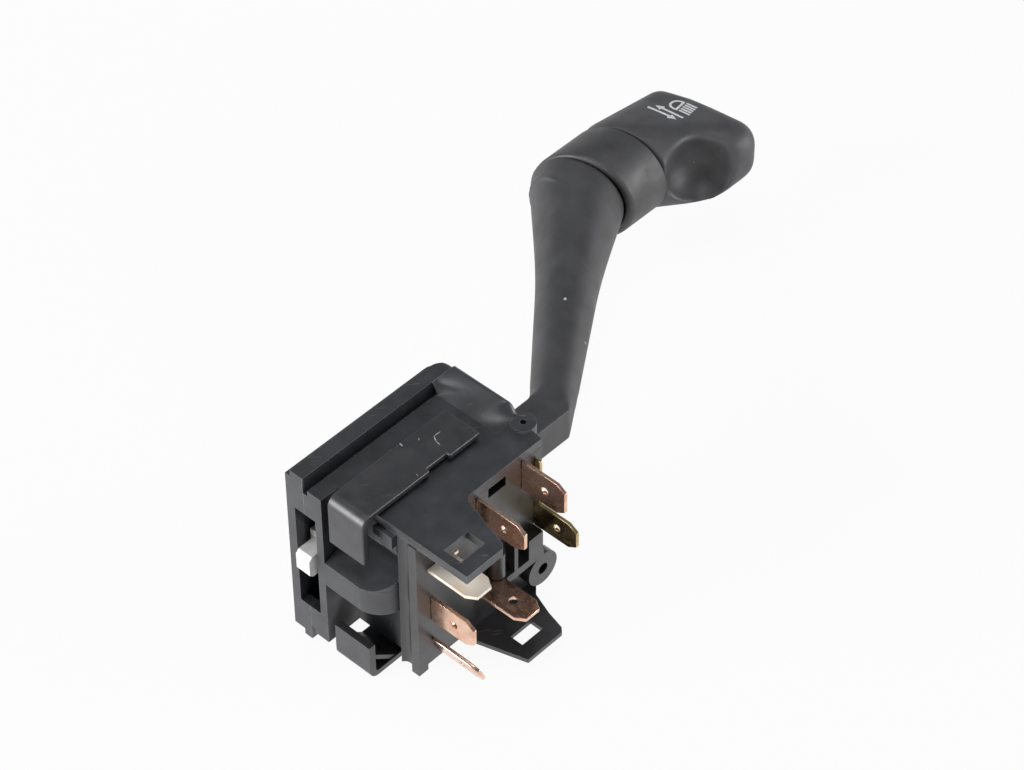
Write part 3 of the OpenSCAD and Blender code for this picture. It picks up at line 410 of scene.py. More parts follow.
class Finish(Enum):
    """Every finish on the switch."""

    # The third shade is the pale edge tone: partly wear, partly a painted highlight on the
    # housing's edges.
    HOUSING = Moulding("housing_black", (40, 41, 45), (172, 174, 178))
    CARRIER = Moulding("carrier_black", (31, 31, 34), (92, 94, 100), roughness=0.34)
    LATCH = Moulding(
        "latch_black",
        (39, 39, 43),
        (96, 98, 102),
        scuffs=0.55,
        edge_strength=0.4,
        marks=(
            Mark((5.5, -14.65, 22.0), 1.9, 0.24, -4, 0.7),
            Mark((4.25, -15.25, 22.0), 1.8, 0.26, 60, 0.8),
            Mark((3.8, -16.5, 22.0), 1.5, 0.24, 80, 0.65),
            Mark((-1.2, -11.5, 22.0), 1.6, 0.3, 84, 0.9),
            Mark((2.1, -13.1, 22.0), 0.8, 0.24, 40, 0.6),
            Mark((1.1, -20.7, 22.0), 0.9, 0.2, 20, 0.5),
            Mark((-4.8, -19.3, 22.0), 1.0, 0.2, 75, 0.45),
        ),
    )
    LEVER = Moulding(
        "lever_black",
        (44, 44, 47),
        (84, 86, 90),
        roughness=0.56,
        grain=0.2 * MM,
        grain_depth=0.012 * MM,
        edge_strength=0.35,
        scuffs=0.16,
        dust=0.016,
        marks=(
            Mark((61.83, 3.78, 6.05), 0.9, 0.7, 30, 1.0),
            Mark((58.2, -5.1, 1.96), 0.8, 0.6, 0, 0.5),
        ),
    )
    KNOB = Moulding(
        "knob_black",
        (54, 54, 57),
        (84, 86, 90),
        roughness=0.58,
        grain=0.2 * MM,
        grain_depth=0.012 * MM,
        edge_strength=0.15,
        scuffs=0.1,
        dust=0.01,
    )
    PAWL = Moulding(
        "pawl_white",
        (232, 232, 228),
        (244, 244, 242),
        roughness=0.38,
        scuffs=0.1,
        dust=0.0,
        specular=0.5,
    )
    YOKE = Moulding("yoke_white", (198, 198, 192), (220, 220, 215), scuffs=0.15, dust=0.004)
    SLIDER = Moulding(
        "slider_ivory", (190, 184, 164), (214, 208, 190), scuffs=0.15, dust=0.004
    )
    BOARD = Moulding(
        "contact_board", (112, 78, 48), (140, 104, 70), roughness=0.5, scuffs=0.1
    )
    LEAD = Moulding("lead_red", (132, 26, 22), (150, 44, 38), roughness=0.35, scuffs=0.1)
    COPPER = Stamping("terminal_copper", (240, 202, 180), (220, 172, 146), (252, 232, 214))
    # Terminal 5's copper: the same metal made paler and barely metallic, a painted reflection
    # of the bright surroundings.
    COPPER_PAINTED_REFLECTION = Stamping(
        "terminal_copper_painted_reflection",
        (255, 246, 230),
        (246, 222, 198),
        (255, 244, 230),
        roughness=0.42,
        metallic=0.12,
        wave_depth=0.05 * MM,
    )
    BRASS = Stamping("terminal_brass", (206, 184, 134), (140, 120, 80), (240, 226, 172))
    STEEL = Stamping("pin_steel", (176, 178, 180), (138, 138, 140), (212, 214, 216))
    SPRING = Stamping("spring_steel", (150, 152, 156), (104, 104, 108), (190, 192, 196))
    INK = PrintedInk("symbol_white", (232, 234, 236), (150, 152, 156))


@cache
def paint(finish: Finish) -> Material:
    """Gives the material of a finish, and makes it on first use."""
    return finish.value.build()


# ---- mesh tools


def block(bm: Mesh, low: Vector, high: Vector) -> None:
    """Adds a block between its lowest and its highest corner."""
    size = Matrix.Diagonal((*(high - low), 1))
    place = Matrix.Translation((low + high) / 2) @ size
    bmesh.ops.create_cube(bm, size=1.0, matrix=place)


def ball(bm: Mesh, middle: Vector, radius: float, segments: tuple[int, int]) -> None:
    """Adds a ball with a number of segments round it and from pole to pole."""
    place = Matrix.Translation(middle)
    bmesh.ops.create_uvsphere(
        bm, u_segments=segments[0], v_segments=segments[1], radius=radius, matrix=place
    )


def rod(bm: Mesh, start: Vector, end: Vector, radius: float, sides: int = 48) -> None:
    """Adds a closed round rod between the middles of its two ends."""
    along = end - start
    turn = Z_AXIS.rotation_difference(along.normalized()).to_matrix().to_4x4()
    place = Matrix.Translation((start + end) / 2) @ turn
    size = {"radius1": radius, "radius2": radius, "depth": along.length}
    bmesh.ops.create_cone(bm, cap_ends=True, segments=sides, matrix=place, **size)


def new_verts(grown: dict[str, list]) -> list[bmesh.types.BMVert]:
    """Picks the vertices out of what an extrusion made."""
    return [v for v in grown["geom"] if isinstance(v, bmesh.types.BMVert)]


def cut_off(bm: Mesh, place: Vector, normal: Vector) -> list[bmesh.types.BMEdge]:
    """Cuts a mesh with a plane and drops what lies beyond it.

    Args:
        bm: Mesh to cut.
        place: A point of the plane.
        normal: Normal of the plane, towards the side that goes.

    Returns:
        The edges of the open rim.
    """
    whole = bm.verts[:] + bm.edges[:] + bm.faces[:]
    cut = bmesh.ops.bisect_plane(
        bm, geom=whole, dist=WELD, plane_co=place, plane_no=normal, clear_outer=True
    )
    return [e for e in cut["geom_cut"] if isinstance(e, bmesh.types.BMEdge)]


def soften(
    bm: Mesh,
    width: float,
    angle: float = 35,
    segments: int = 2,
    chosen: Callable[[bmesh.types.BMEdge], bool] = lambda edge: True,
) -> None:
    """Rounds every edge that is sharper than an angle.

    Args:
        bm: Mesh to round.
        width: Width of the rounding, in metres.
        angle: Least angle between the faces, in degrees.
        segments: Steps across the rounding.
        chosen: Test that an edge has to pass as well.
    """
    limit = math.radians(angle)
    sharp = [
        e
        for e in bm.edges
        if e.is_manifold and abs(e.calc_face_angle_signed()) > limit and chosen(e)
    ]
    bmesh.ops.bevel(
        bm,
        geom=sharp,
        offset=width,
        offset_type="OFFSET",
        segments=segments,
        profile=0.5,
        affect="EDGES",
        clamp_overlap=True,
        material=-1,
    )
    bmesh.ops.remove_doubles(bm, verts=bm.verts, dist=WELD)


def joined_mesh(
    form: Mesh, hollow: Mesh | None = None, voxel: float | None = None
) -> Mesh:
    """Cuts a closed piece away and joins overlapping pieces into one even skin.

    Args:
        form: The pieces. It is freed.
        hollow: A closed piece to cut away first. It is freed.
        voxel: Size of the joining grid, in metres. Without it, only the cut is made.

    Returns:
        The new mesh.
    """
    drafts = []
    for name, bm in (("form_draft", form), ("hollow_draft", hollow)):
        if bm is None:
            continue
        draft = bpy.data.objects.new(name, bpy.data.meshes.new(name))
        bm.to_mesh(draft.data)
        bm.free()
        bpy.context.scene.collection.objects.link(draft)
        drafts.append(draft)
    if hollow is not None:
        cut = drafts[0].modifiers.new("hollow", "BOOLEAN")
        cut.operation, cut.solver, cut.object = "DIFFERENCE", "EXACT", drafts[1]
    if voxel is not None:
        grid = drafts[0].modifiers.new("grid", "REMESH")
        grid.mode, grid.voxel_size = "VOXEL", voxel
    bpy.context.view_layer.update()
    view = drafts[0].evaluated_get(bpy.context.evaluated_depsgraph_get())
    joined = bmesh.new()
    joined.from_mesh(view.to_mesh())
    view.to_mesh_clear()
    for draft in drafts:
        data = draft.data
        bpy.data.objects.remove(draft)
        bpy.data.meshes.remove(data)
    return joined


def adopt(bm: Mesh, extra: Mesh) -> None:
    """Adds another mesh to a mesh, with its faces turned outwards, and frees it."""
    bmesh.ops.recalc_face_normals(extra, faces=extra.faces)
    mesh = bpy.data.meshes.new("extra")
    extra.to_mesh(mesh)
    extra.free()
    bm.from_mesh(mesh)
    bpy.data.meshes.remove(mesh)


def relax(bm: Mesh, verts: list[bmesh.types.BMVert], passes: int) -> None:
    """Smooths a group of vertices a number of times."""
    for _ in range(passes):
        bmesh.ops.smooth_vert(
            bm, verts=verts, factor=0.5, use_axis_x=True, use_axis_y=True, use_axis_z=True
        )


@dataclass
class Piece:
    """One dressed piece, with what it rides on and what it stands for."""

    name: str
    body: str
    slot: str
    finish: Finish
    replaces: tuple[str, ...] = ()
    smooth_angle: float = 32
    level_faces: bool = False

    def add(self, bm: Mesh, recalculate: bool = True) -> None:
        """Turns a mesh into a piece of the object.

        Args:
            bm: The piece's mesh, which is freed here.
            recalculate: True where the normals have to be made to point outwards.
        """
        if recalculate:
            bmesh.ops.recalc_face_normals(bm, faces=bm.faces)
        mesh = bpy.data.meshes.new(self.name)
        bm.to_mesh(mesh)
        bm.free()
        mesh.materials.append(paint(self.finish))
        mesh.shade_smooth()
        mesh.set_sharp_from_angle(angle=math.radians(self.smooth_angle))
        made = bpy.data.objects.new(self.name, mesh)
        bpy.context.scene.collection.objects.link(made)
        if self.level_faces:
            weights = made.modifiers.new("level_faces", "WEIGHTED_NORMAL")
            weights.keep_sharp = True
        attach(made, self.body)
        if self.replaces:
            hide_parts(*self.replaces)
        log.info("%s: %d faces on %s", self.name, len(mesh.polygons), self.body)


def node_mesh(node: str, weld: float = 0.004 * MM, flat: float = 0.6) -> Mesh:
    """Copies a CAD node as a welded mesh with its flat faces joined.

    Args:
        node: Name of the node.
        weld: Distance under which two vertices become one.
        flat: Angle between faces that still count as one flat face, in degrees.

    Returns:
        The copy.
    """
    bm = bmesh.new()
    bm.from_mesh(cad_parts[node].data)
    bmesh.ops.remove_doubles(bm, verts=bm.verts, dist=weld)
    bmesh.ops.dissolve_degenerate(bm, edges=bm.edges, dist=weld)
    limit = math.radians(flat)
    bmesh.ops.dissolve_limit(bm, angle_limit=limit, verts=bm.verts, edges=bm.edges)
    return bm


# ---- studio


@dataclass(frozen=True)
class Lamp:
    """One square softbox, placed in metres and with its power in watts."""

    name: str
    place: Triple
    power: float
    size: float = 0.6

    def add(self, aim: Vector) -> None:
        """Adds the lamp, turned to face a point."""
        data = bpy.data.lights.new(self.name, "AREA")
        data.shape = "SQUARE"
        data.size = self.size
        data.energy = self.power
        lamp = bpy.data.objects.new(self.name, data)
        place = Vector(self.place)
        turn = (place - aim).to_track_quat("Z", "Y").to_matrix().to_4x4()
        lamp.matrix_world = Matrix.Translation(place) @ turn
        bpy.context.scene.collection.objects.link(lamp)


@dataclass
class Studio:
    """White floor with a raised rim, three soft lamps and the photograph's camera.

    Angles are in degrees, the lens is in millimetres and the rest is in metres.
    """

    azimuth: float = -46.91
    elevation: float = 44.85
    roll: float = -0.28
    camera_place: Vector = field(default_factory=lambda: point(-317.64, -335.83, 487.13))
    lens: float = 121.3
    sensor: float = 36
    shift: Span = (0.0017, 0.0027)
    clip: Span = (0.01, 20)
    rim_radius: float = 1.6
    rim_height: float = 0.75
    rim_spread: float = 1.12
    rim_sides: int = 96
    floor_gap: float = 0.2 * MM
    floor_white: float = 0.86
    floor_glow: float = 0.93
    sky: Triple = (0.82, 0.85, 0.9)
    sky_strength: float = 0.2
    aim: Triple = (0.045, 0.0, 0.0)
    lamps: tuple[Lamp, ...] = (
        Lamp("top_softbox", (0.0, 0.0, 1.15), 4.0),
        Lamp("left_softbox", (-1.0, 0.42, 0.32), 13.0),
        Lamp("right_softbox", (0.8, -0.95, 0.24), 8.0),
    )

    def camera_axes(self) -> Matrix:
        """Gives the matrix whose columns are the camera's right, up and back."""
        a, e, r = (math.radians(v) for v in (self.azimuth, self.elevation, self.roll))
        back = Vector((math.sin(a) * math.cos(e), -math.cos(a) * math.cos(e), math.sin(e)))
        level = Vector((math.cos(a), math.sin(a), 0))
        upright = back.cross(level)
        right = math.cos(r) * level + math.sin(r) * upright
        up = back.cross(right)
        return Matrix((right, up, back)).transposed()

    def add_camera(self) -> None:
        """Adds the camera at the photograph's view."""
        data = bpy.data.cameras.new("photo_camera")
        data.lens = self.lens
        data.sensor_width = self.sensor
        data.shift_x, data.shift_y = self.shift
        data.clip_start, data.clip_end = self.clip
        camera = bpy.data.objects.new("photo_camera", data)
        axes = self.camera_axes().to_4x4()
        camera.matrix_world = Matrix.Translation(self.camera_place) @ axes
        bpy.context.scene.collection.objects.link(camera)
        bpy.context.scene.camera = camera

    def floor_material(self) -> Material:
        """Makes the floor's white, which shows as white and keeps a faint shadow."""
        g = Graph("studio_white")
        path = g.node("ShaderNodeLightPath")
        seen = g.math("MAXIMUM", path.outputs["Is Camera Ray"], path.outputs["Is Glossy Ray"])
        seen = g.math("MAXIMUM", seen, path.outputs["Is Transmission Ray"])
        matt = g.node("ShaderNodeBsdfDiffuse")
        matt.inputs["Color"].default_value = (*[self.floor_white] * 3, 1)
        glow = g.node("ShaderNodeEmission")
        both = g.node("ShaderNodeMixShader")
        g.link(g.math("MULTIPLY", seen, self.floor_glow), both.inputs["Fac"])
        g.link(matt.outputs["BSDF"], both.inputs[1])
        g.link(glow.outputs["Emission"], both.inputs[2])
        g.link(both.outputs["Shader"], g.output.inputs["Surface"])
        return g.material

    def add_floor(self, height: float) -> None:
        """Adds the floor at a height in metres, and its rim."""
        bm = bmesh.new()
        base = bmesh.ops.create_circle(
            bm, cap_ends=True, radius=self.rim_radius, segments=self.rim_sides
        )
        bmesh.ops.translate(bm, verts=base["verts"], vec=(0, 0, height))
        rim = [e for e in bm.edges if e.is_boundary]
        top = new_verts(bmesh.ops.extrude_edge_only(bm, edges=rim))
        bmesh.ops.translate(bm, verts=top, vec=(0, 0, self.rim_height))
        bmesh.ops.scale(bm, verts=top, vec=(self.rim_spread, self.rim_spread, 1))
        mesh = bpy.data.meshes.new("studio_floor")
        bm.to_mesh(mesh)
        bm.free()
        mesh.materials.append(self.floor_material())
        floor = bpy.data.objects.new("studio_floor", mesh)
        bpy.context.scene.collection.objects.link(floor)

    def build(self) -> None:
        """Sets up the whole studio."""
        scene = bpy.context.scene
        scene.view_settings.view_transform = "Standard"
        world = bpy.data.worlds.new("studio_world")
        world.use_nodes = True
        sky = world.node_tree.nodes["Background"]
        sky.inputs["Color"].default_value = (*self.sky, 1)
        sky.inputs["Strength"].default_value = self.sky_strength
        scene.world = world
        self.add_camera()
        self.add_floor(CAD_BOX[0][2] - self.floor_gap)
        for lamp in self.lamps:
            lamp.add(Vector(self.aim))


# ---- body


@dataclass(frozen=True)
class Swelling:
    """The smooth swelling of the top plate at its +X end, in millimetres.

    It takes the place of the swept rim of the solid, which is cut off first.
    """

    plate: float = 20.0
    rise: float = 2.5
    start: float = 14.5
    run: float = 5.6
    length: float = 6.6
    front: float = -4.7
    front_width: float = 1.4
    front_spread: float = 1.9
    rear: float = -21.4
    rear_width: float = 8.2
    rear_spread: float = -0.9
    edge_start: float = 20.1
    edge_radius: float = 1.0
    sole: float = 18.9
    cut_low: Triple = (13.6, -21.6, 20.0)
    cut_high: Triple = (22, -4.69, 23)
    cells: tuple[int, int] = (22, 34)

    def height(self, x: float, y: float) -> float:
        """Height of the swelling over a point of the plate.

        Args:
            x: Place along X, in millimetres.
            y: Place along Y, in millimetres.

        Returns:
            Z of the surface, in millimetres.
        """
        beyond = max(x - self.start, 0.0)
        along = min(beyond / self.run, 1.0)
        front = (y - self.front) / (self.front_width + self.front_spread * beyond)
        front = min(max(1 + front, 0.0), 1.0)
        fade = (y - self.rear) / (self.rear_width + self.rear_spread * beyond)
        fade = min(max(fade, 0.0), 1.0)
        fade *= fade * (3 - 2 * fade)
        past = max(x - self.edge_start, 0.0)
        drop = self.edge_radius - math.sqrt(max(self.edge_radius**2 - past**2, 0.0))
        joined = 1 - (1 - along) * (1 - front)
        return self.plate + self.rise * joined * fade - drop

    def put_on(self, bm: Mesh) -> Mesh:
        """Swaps the swept rim for the swelling.

        Args:
            bm: The housing's mesh. It is freed.

        Returns:
            The housing with its smooth end.
        """
        cutter = bmesh.new()
        block(cutter, point(*self.cut_low), point(*self.cut_high))
        bm = joined_mesh(bm, cutter)
        skin = bmesh.new()
        columns, rows = self.cells
        grid = bmesh.ops.create_grid(skin, x_segments=columns, y_segments=rows, size=0.5)
        for vert in grid["verts"]:
            u, v = vert.co.x + 0.5, vert.co.y + 0.5
            x = self.start + self.length * math.sin(u * math.pi / 2)
            y = self.rear + (self.front - self.rear) * v
            vert.co = point(x, y, self.height(x, y))
        grown = bmesh.ops.extrude_face_region(skin, geom=skin.faces[:], use_keep_orig=True)
        for vert in new_verts(grown):
            vert.co.z = self.sole * MM
        adopt(bm, skin)
        return bm


@dataclass(frozen=True)
class Recess:
    """The ramp over the ledge and the two ribs beside the latch leg, in millimetres."""

    left: float = -20.45
    right: float = -11.9
    front: float = -9.6
    rear: float = -24.35
    round_centre: Span = (-14.5, -18.4)
    round_radius: float = 5.95
    round_step: int = 6
    sole: float = 2.6
    left_height: float = 2.8
    slope: float = 0.42
    ribs: tuple[tuple[Triple, Triple], ...] = (
        ((-16.95, -24.38, 15.9), (-11.8, -19.4, 17.7)),
        ((-15.85, -24.36, 12.7), (-11.8, -19.0, 14.4)),
    )

    def put_on(self, bm: Mesh) -> None:
        """Adds the ramp and the ribs to the housing."""
        extra = bmesh.new()
        corners = [(self.left, self.front), (self.right, self.front), (self.right, self.rear)]
        x, y = self.round_centre
        for turn in range(0, 90 + self.round_step, self.round_step):
            a = math.radians(turn)
            reach = self.round_radius
            corners.append((x - reach * math.sin(a), y - reach * math.cos(a)))
        sole = extra.faces.new([extra.verts.new(point(*c, self.sole)) for c in corners])
        for vert in new_verts(bmesh.ops.extrude_face_region(extra, geom=[sole])):
            beyond = vert.co.x / MM - self.left
            vert.co.z = (self.left_height + self.slope * beyond) * MM
        for low, high in self.ribs:
            block(extra, point(*low), point(*high))
        adopt(bm, extra)


@dataclass(frozen=True)
class Shell:
    """One CAD node dressed as it is, with the width of its rounded edges in millimetres."""

    node: str
    suffix: str
    slot: str
    finish: Finish
    rounding: float
    segments: int = 2
    body: str = "housing"

    def build(self, bm: Mesh) -> None:
        """Rounds the node's mesh and adds it as a piece."""
        soften(bm, self.rounding * MM, segments=self.segments)
        name = f"{self.node}_{self.suffix}"
        piece = Piece(name, self.body, self.slot, self.finish, (self.node,), level_faces=True)
        piece.add(bm, recalculate=False)


@dataclass
class Housing:
    """The fixed body: front cover, base housing and contact carrier."""

    shells: tuple[Shell, ...] = (
        Shell("front_cover", "shell", "body_black", Finish.HOUSING, 0.22),
        Shell("base_housing", "shell", "body_black", Finish.HOUSING, 0.2),
        Shell("contact_carrier", "shell", "carrier_black", Finish.CARRIER, 0.16),
    )
    detailed: str = "base_housing"
    swelling: Swelling = Swelling()
    recess: Recess = Recess()

    def build(self) -> None:
        """Makes the three mouldings with rounded edges."""
        for shell in self.shells:
            bm = node_mesh(shell.node)
            if shell.node == self.detailed:
                bm = self.swelling.put_on(bm)
                self.recess.put_on(bm)
            shell.build(bm)


@dataclass
class Terminals:
    """The terminal blades, numbered from 1, with their rounding in millimetres."""

    count: int = 8
    brass: tuple[int, ...] = (2, 3)
    # Terminal 5 takes the paler copper, whose brightness is a painted reflection.
    pale: int = 5
    rounding: float = 0.2

    def build(self) -> None:
        """Makes each terminal with its sheared edges."""
        for index in range(1, self.count + 1):
            node = f"terminal_{index}"
            # The paler copper on terminal 5 is a painted reflection; the metal is the same as
            # on the others.
            finish = Finish.COPPER_PAINTED_REFLECTION if index == self.pale else Finish.COPPER
            finish = Finish.BRASS if index in self.brass else finish
            slot = "terminal_brass" if finish is Finish.BRASS else "terminal_copper"
            Shell(node, "blade", slot, finish, self.rounding).build(node_mesh(node))


@dataclass
class Latches:
    """The two spring latches, with their rounding in millimetres."""

    nodes: tuple[str, ...] = ("top_latch", "bottom_latch")
    rounding: float = 0.3

    def build(self) -> None:
        """Makes each latch with soft edges."""
        for node in self.nodes:
            strap = Shell(node, "strap", "latch_black", Finish.LATCH, self.rounding, 3, node)
            strap.build(node_mesh(node))


# ---- lever and knob


@dataclass
class Lever:
    """The lever: hinged core, square stub, flared arm and grip sleeve.

    Places are in metres; the other sizes are in millimetres and degrees. The arm's radius
    grows evenly from the root to the flare, then along a cubic curve to the mitre.
    """

    bend: Vector = field(default_factory=lambda: point(39.6, -12.7, 0))
    elbow: Vector = field(default_factory=lambda: point(91.067, 26.507, 0))
    arm_angle: float = 37.3
    arm_length: float = 64.7
    arm_span: Span = (3.0, 84.0)
    rings: int = 60
    sides: int = 96
    skin: float = 0.05
    root_radius: float = 4.5
    flare_start: float = 33.0
    flare_radius: float = 6.3
    flare_growth: float = 3.9
    flare_curve: Triple = (0.443, 1.016, -0.459)
    tail_growth: float = 0.3
    tail_rate: float = 0.45
    seam_shift: float = 1.0
    seam_rounding: float = 0.9
    stub_length: float = 4.8
    stub_rounding: float = 0.4
    core_span: Span = (-6.0, 3.5)
    core_radius: float = 8.95
    voxel: float = 0.3
    passes: int = 4
    bend_shift: float = 4.0
    bend_reach: float = 6.0
    bend_passes: int = 30
    sleeve_middle: float = 9.0
    sleeve_rounding: Span = (0.8, 0.3)

    def along(self, angle: float) -> Vector:
        """Unit vector in the lever's plane at an angle to +X, in degrees."""
        return Vector((math.cos(math.radians(angle)), math.sin(math.radians(angle)), 0))

    def radius(self, reach: float) -> float:
        """Radius of the arm at a distance from the bend, both in millimetres."""
        if reach <= self.flare_start:
            growth = self.flare_radius - self.root_radius
            return self.skin + self.root_radius + growth * reach / self.flare_start
        flared = self.skin + self.flare_radius
        u = (reach - self.flare_start) / (self.arm_length - self.flare_start)
        if u <= 1:
            first, second, third = self.flare_curve
            return flared + self.flare_growth * (first * u + second * u**2 + third * u**3)
        beyond = reach - self.arm_length
        tail = self.tail_growth * (1 - math.exp(-self.tail_rate * beyond))
        return flared + self.flare_growth + tail

    def arm(self) -> Mesh:
        """Spins the closed, flared arm and cuts it at its mitre, with a rounded rim."""
        axis, side = self.along(self.arm_angle), self.along(self.arm_angle + 90)
        start, end = self.arm_span
        bm = bmesh.new()
        reaches = [start + (end - start) * k / (self.rings - 1) for k in range(self.rings)]
        spots = [self.bend + axis * start * MM]
        spots += [self.bend + (axis * r + side * self.radius(r)) * MM for r in reaches]
        spots.append(self.bend + axis * end * MM)
        verts = [bm.verts.new(spot) for spot in spots]
        edges = [bm.edges.new(pair) for pair in zip(verts, verts[1:])]
        turn = {"cent": self.bend, "axis": axis, "angle": math.tau, "steps": self.sides}
        bmesh.ops.spin(bm, geom=verts + edges, use_merge=True, **turn)
        bmesh.ops.remove_doubles(bm, verts=bm.verts, dist=WELD)
        mitre = self.along(self.arm_angle / 2)
        rim = cut_off(bm, self.elbow + mitre * self.seam_shift * MM, mitre)
        bmesh.ops.edgeloop_fill(bm, edges=rim)
        bmesh.ops.recalc_face_normals(bm, faces=bm.faces)
        soften(bm, self.seam_rounding * MM, angle=30, segments=5, chosen=lambda e: e in rim)
        return bm

    def stub(self) -> Mesh:
        """Copies the lever's core, stub and bend, cut off where the round arm begins."""
        bm = node_mesh("lever_arm")
        axis = self.along(self.arm_angle)
        rim = cut_off(bm, self.bend + axis * self.stub_length * MM, axis)
        bmesh.ops.triangle_fill(bm, use_beauty=True, edges=rim, normal=axis)
        bmesh.ops.recalc_face_normals(bm, faces=bm.faces)
        soften(bm, self.stub_rounding * MM, segments=3)
        return bm

    def shaft(self) -> Mesh:
        """Joins the stub, the arm and the core of the sleeve into one even skin."""
        form = self.stub()
        adopt(form, self.arm())
        low, high = (self.elbow + X_AXIS * reach * MM for reach in self.core_span)
        rod(form, low, high, self.core_radius * MM)
        bm = joined_mesh(form, voxel=self.voxel * MM)
        relax(bm, list(bm.verts), self.passes)
        corner = self.bend + self.along(self.arm_angle) * self.bend_shift * MM
        near = [v for v in bm.verts if (v.co - corner).length < self.bend_reach * MM]
        relax(bm, near, self.bend_passes)
        return bm

    def sleeve(self) -> Mesh:
        """Copies the grip sleeve with a round mitre rim and a finer ring rim."""
        bm = node_mesh("grip_sleeve")
        middle = self.elbow.x + self.sleeve_middle * MM
        mitre, ring = (width * MM for width in self.sleeve_rounding)
        soften(bm, mitre, segments=5, chosen=lambda e: max(v.co.x for v in e.verts) < middle)
        soften(bm, ring, segments=3, chosen=lambda e: min(v.co.x for v in e.verts) > middle)
        return bm

    def build(self) -> None:
        """Makes the lever's pieces."""
        look = ("lever", "lever_black", Finish.LEVER)
        Piece("arm_shaft", *look, ("lever_arm",), smooth_angle=60).add(self.shaft())
        sleeve = Piece("grip_sleeve_shell", *look, ("grip_sleeve",))
        sleeve.add(self.sleeve(), recalculate=False)


@dataclass
class Symbols:
    """Printed marks on the knob's top, in millimetres: two turning arrows and a headlamp."""

    to_frame: Matrix
    skin: BVHTree
    above: float = 30
    lift: float = 0.03
    depth: float = 0.12
    step: float = 0.45
    arrows: tuple[tuple[Span, Span], ...] = (
        ((12.1, -0.35), (11.3, -7.6)),
        ((12.7, -8.5), (13.7, -1.4)),
    )
    arrow_head: float = 1.7
    half_shaft: float = 0.32
    half_head: float = 0.95
    lamp: Span = (16.7, -5.3)
    lens: Span = (2.1, 1.9)
    lens_foot: float = 0.75
    lens_width: float = 0.55
    lens_steps: int = 16
    beams: int = 5
    beam_start: float = -2.0
    beam_spacing: float = 0.9
    beam_outline: tuple[Span, ...] = ((0.0, -1.1), (-0.3, -3.8), (0.25, -3.8), (0.55, -1.1))

    def dense(self, outline: list[Span]) -> list[Span]:
        """Adds points along an outline so that it can follow the knob's skin."""
        points = []
        for (x0, y0), (x1, y1) in zip(outline, outline[1:] + outline[:1]):
            count = max(int(math.dist((x0, y0), (x1, y1)) / self.step), 1)
            for k in range(count):
                points.append((x0 + (x1 - x0) * k / count, y0 + (y1 - y0) * k / count))
        return points

    def on_skin(self, x: float, y: float) -> Vector:
        """The place on the knob's top over a point of its own plane, in millimetres."""
        start = self.to_frame @ point(x, y, self.above)
        hit = self.skin.ray_cast(start, -Z_AXIS)[0]
        return hit + Z_AXIS * self.lift * MM

    def stamp(self, bm: Mesh, outline: list[Span]) -> None:
        """Adds one filled mark."""
        corners = [bm.verts.new(self.on_skin(x, y)) for x, y in self.dense(outline)]
        self.thicken(bm, bmesh.ops.triangulate(bm, faces=[bm.faces.new(corners)])["faces"])

    def band(self, bm: Mesh, outer: list[Span], inner: list[Span]) -> None:
        """Adds one closed band between two outlines with the same number of corners."""
        rims = [[bm.verts.new(self.on_skin(x, y)) for x, y in rim] for rim in (outer, inner)]
        count = len(outer)
        faces = []
        for k in range(count):
            n = (k + 1) % count
            faces.append(bm.faces.new((rims[0][k], rims[0][n], rims[1][n], rims[1][k])))
        self.thicken(bm, faces)

    def thicken(self, bm: Mesh, faces: list[bmesh.types.BMFace]) -> None:
        """Gives printed faces a thickness that reaches into the knob."""
        sunk = new_verts(bmesh.ops.extrude_face_region(bm, geom=faces, use_keep_orig=True))
        bmesh.ops.translate(bm, verts=sunk, vec=-Z_AXIS * self.depth * MM)

    def arrow(self, bm: Mesh, tail: Span, tip: Span) -> None:
        """Adds an arrow from its tail to its tip."""
        start, end = Vector(tail), Vector(tip)
        ahead = (end - start).normalized()
        side = Vector((-ahead.y, ahead.x))
        neck = end - ahead * self.arrow_head
        shaft, head = side * self.half_shaft, side * self.half_head
        outline = [start + shaft, start - shaft, neck - shaft, neck - head]
        outline += [end, neck + head, neck + shaft]
        self.stamp(bm, [tuple(p) for p in outline])

    def headlamp(self, bm: Mesh) -> None:
        """Adds the headlamp: a D-shaped lens and five beams."""
        x, y = self.lamp
        wide, tall = self.lens
        angles = [math.radians(180 * k / self.lens_steps) for k in range(self.lens_steps + 1)]
        rims = []
        for inset in (0.0, self.lens_width):
            half, foot = wide - inset, y - self.lens_foot + inset
            bow = [(x + half * math.cos(a), y + (tall - inset) * math.sin(a)) for a in angles]
            rims.append(bow + [(x - half, foot), (x + half, foot)])
        self.band(bm, *rims)
        for k in range(self.beams):
            left = x + self.beam_start + self.beam_spacing * k
            self.stamp(bm, [(left + across, y + down) for across, down in self.beam_outline])

    def build(self) -> None:
        """Makes the printed piece."""
        bm = bmesh.new()
        for tail, tip in self.arrows:
            self.arrow(bm, tail, tip)
        self.headlamp(bm)
        Piece("knob_symbols", "knob", "pawl_white", Finish.INK, smooth_angle=60).add(bm)


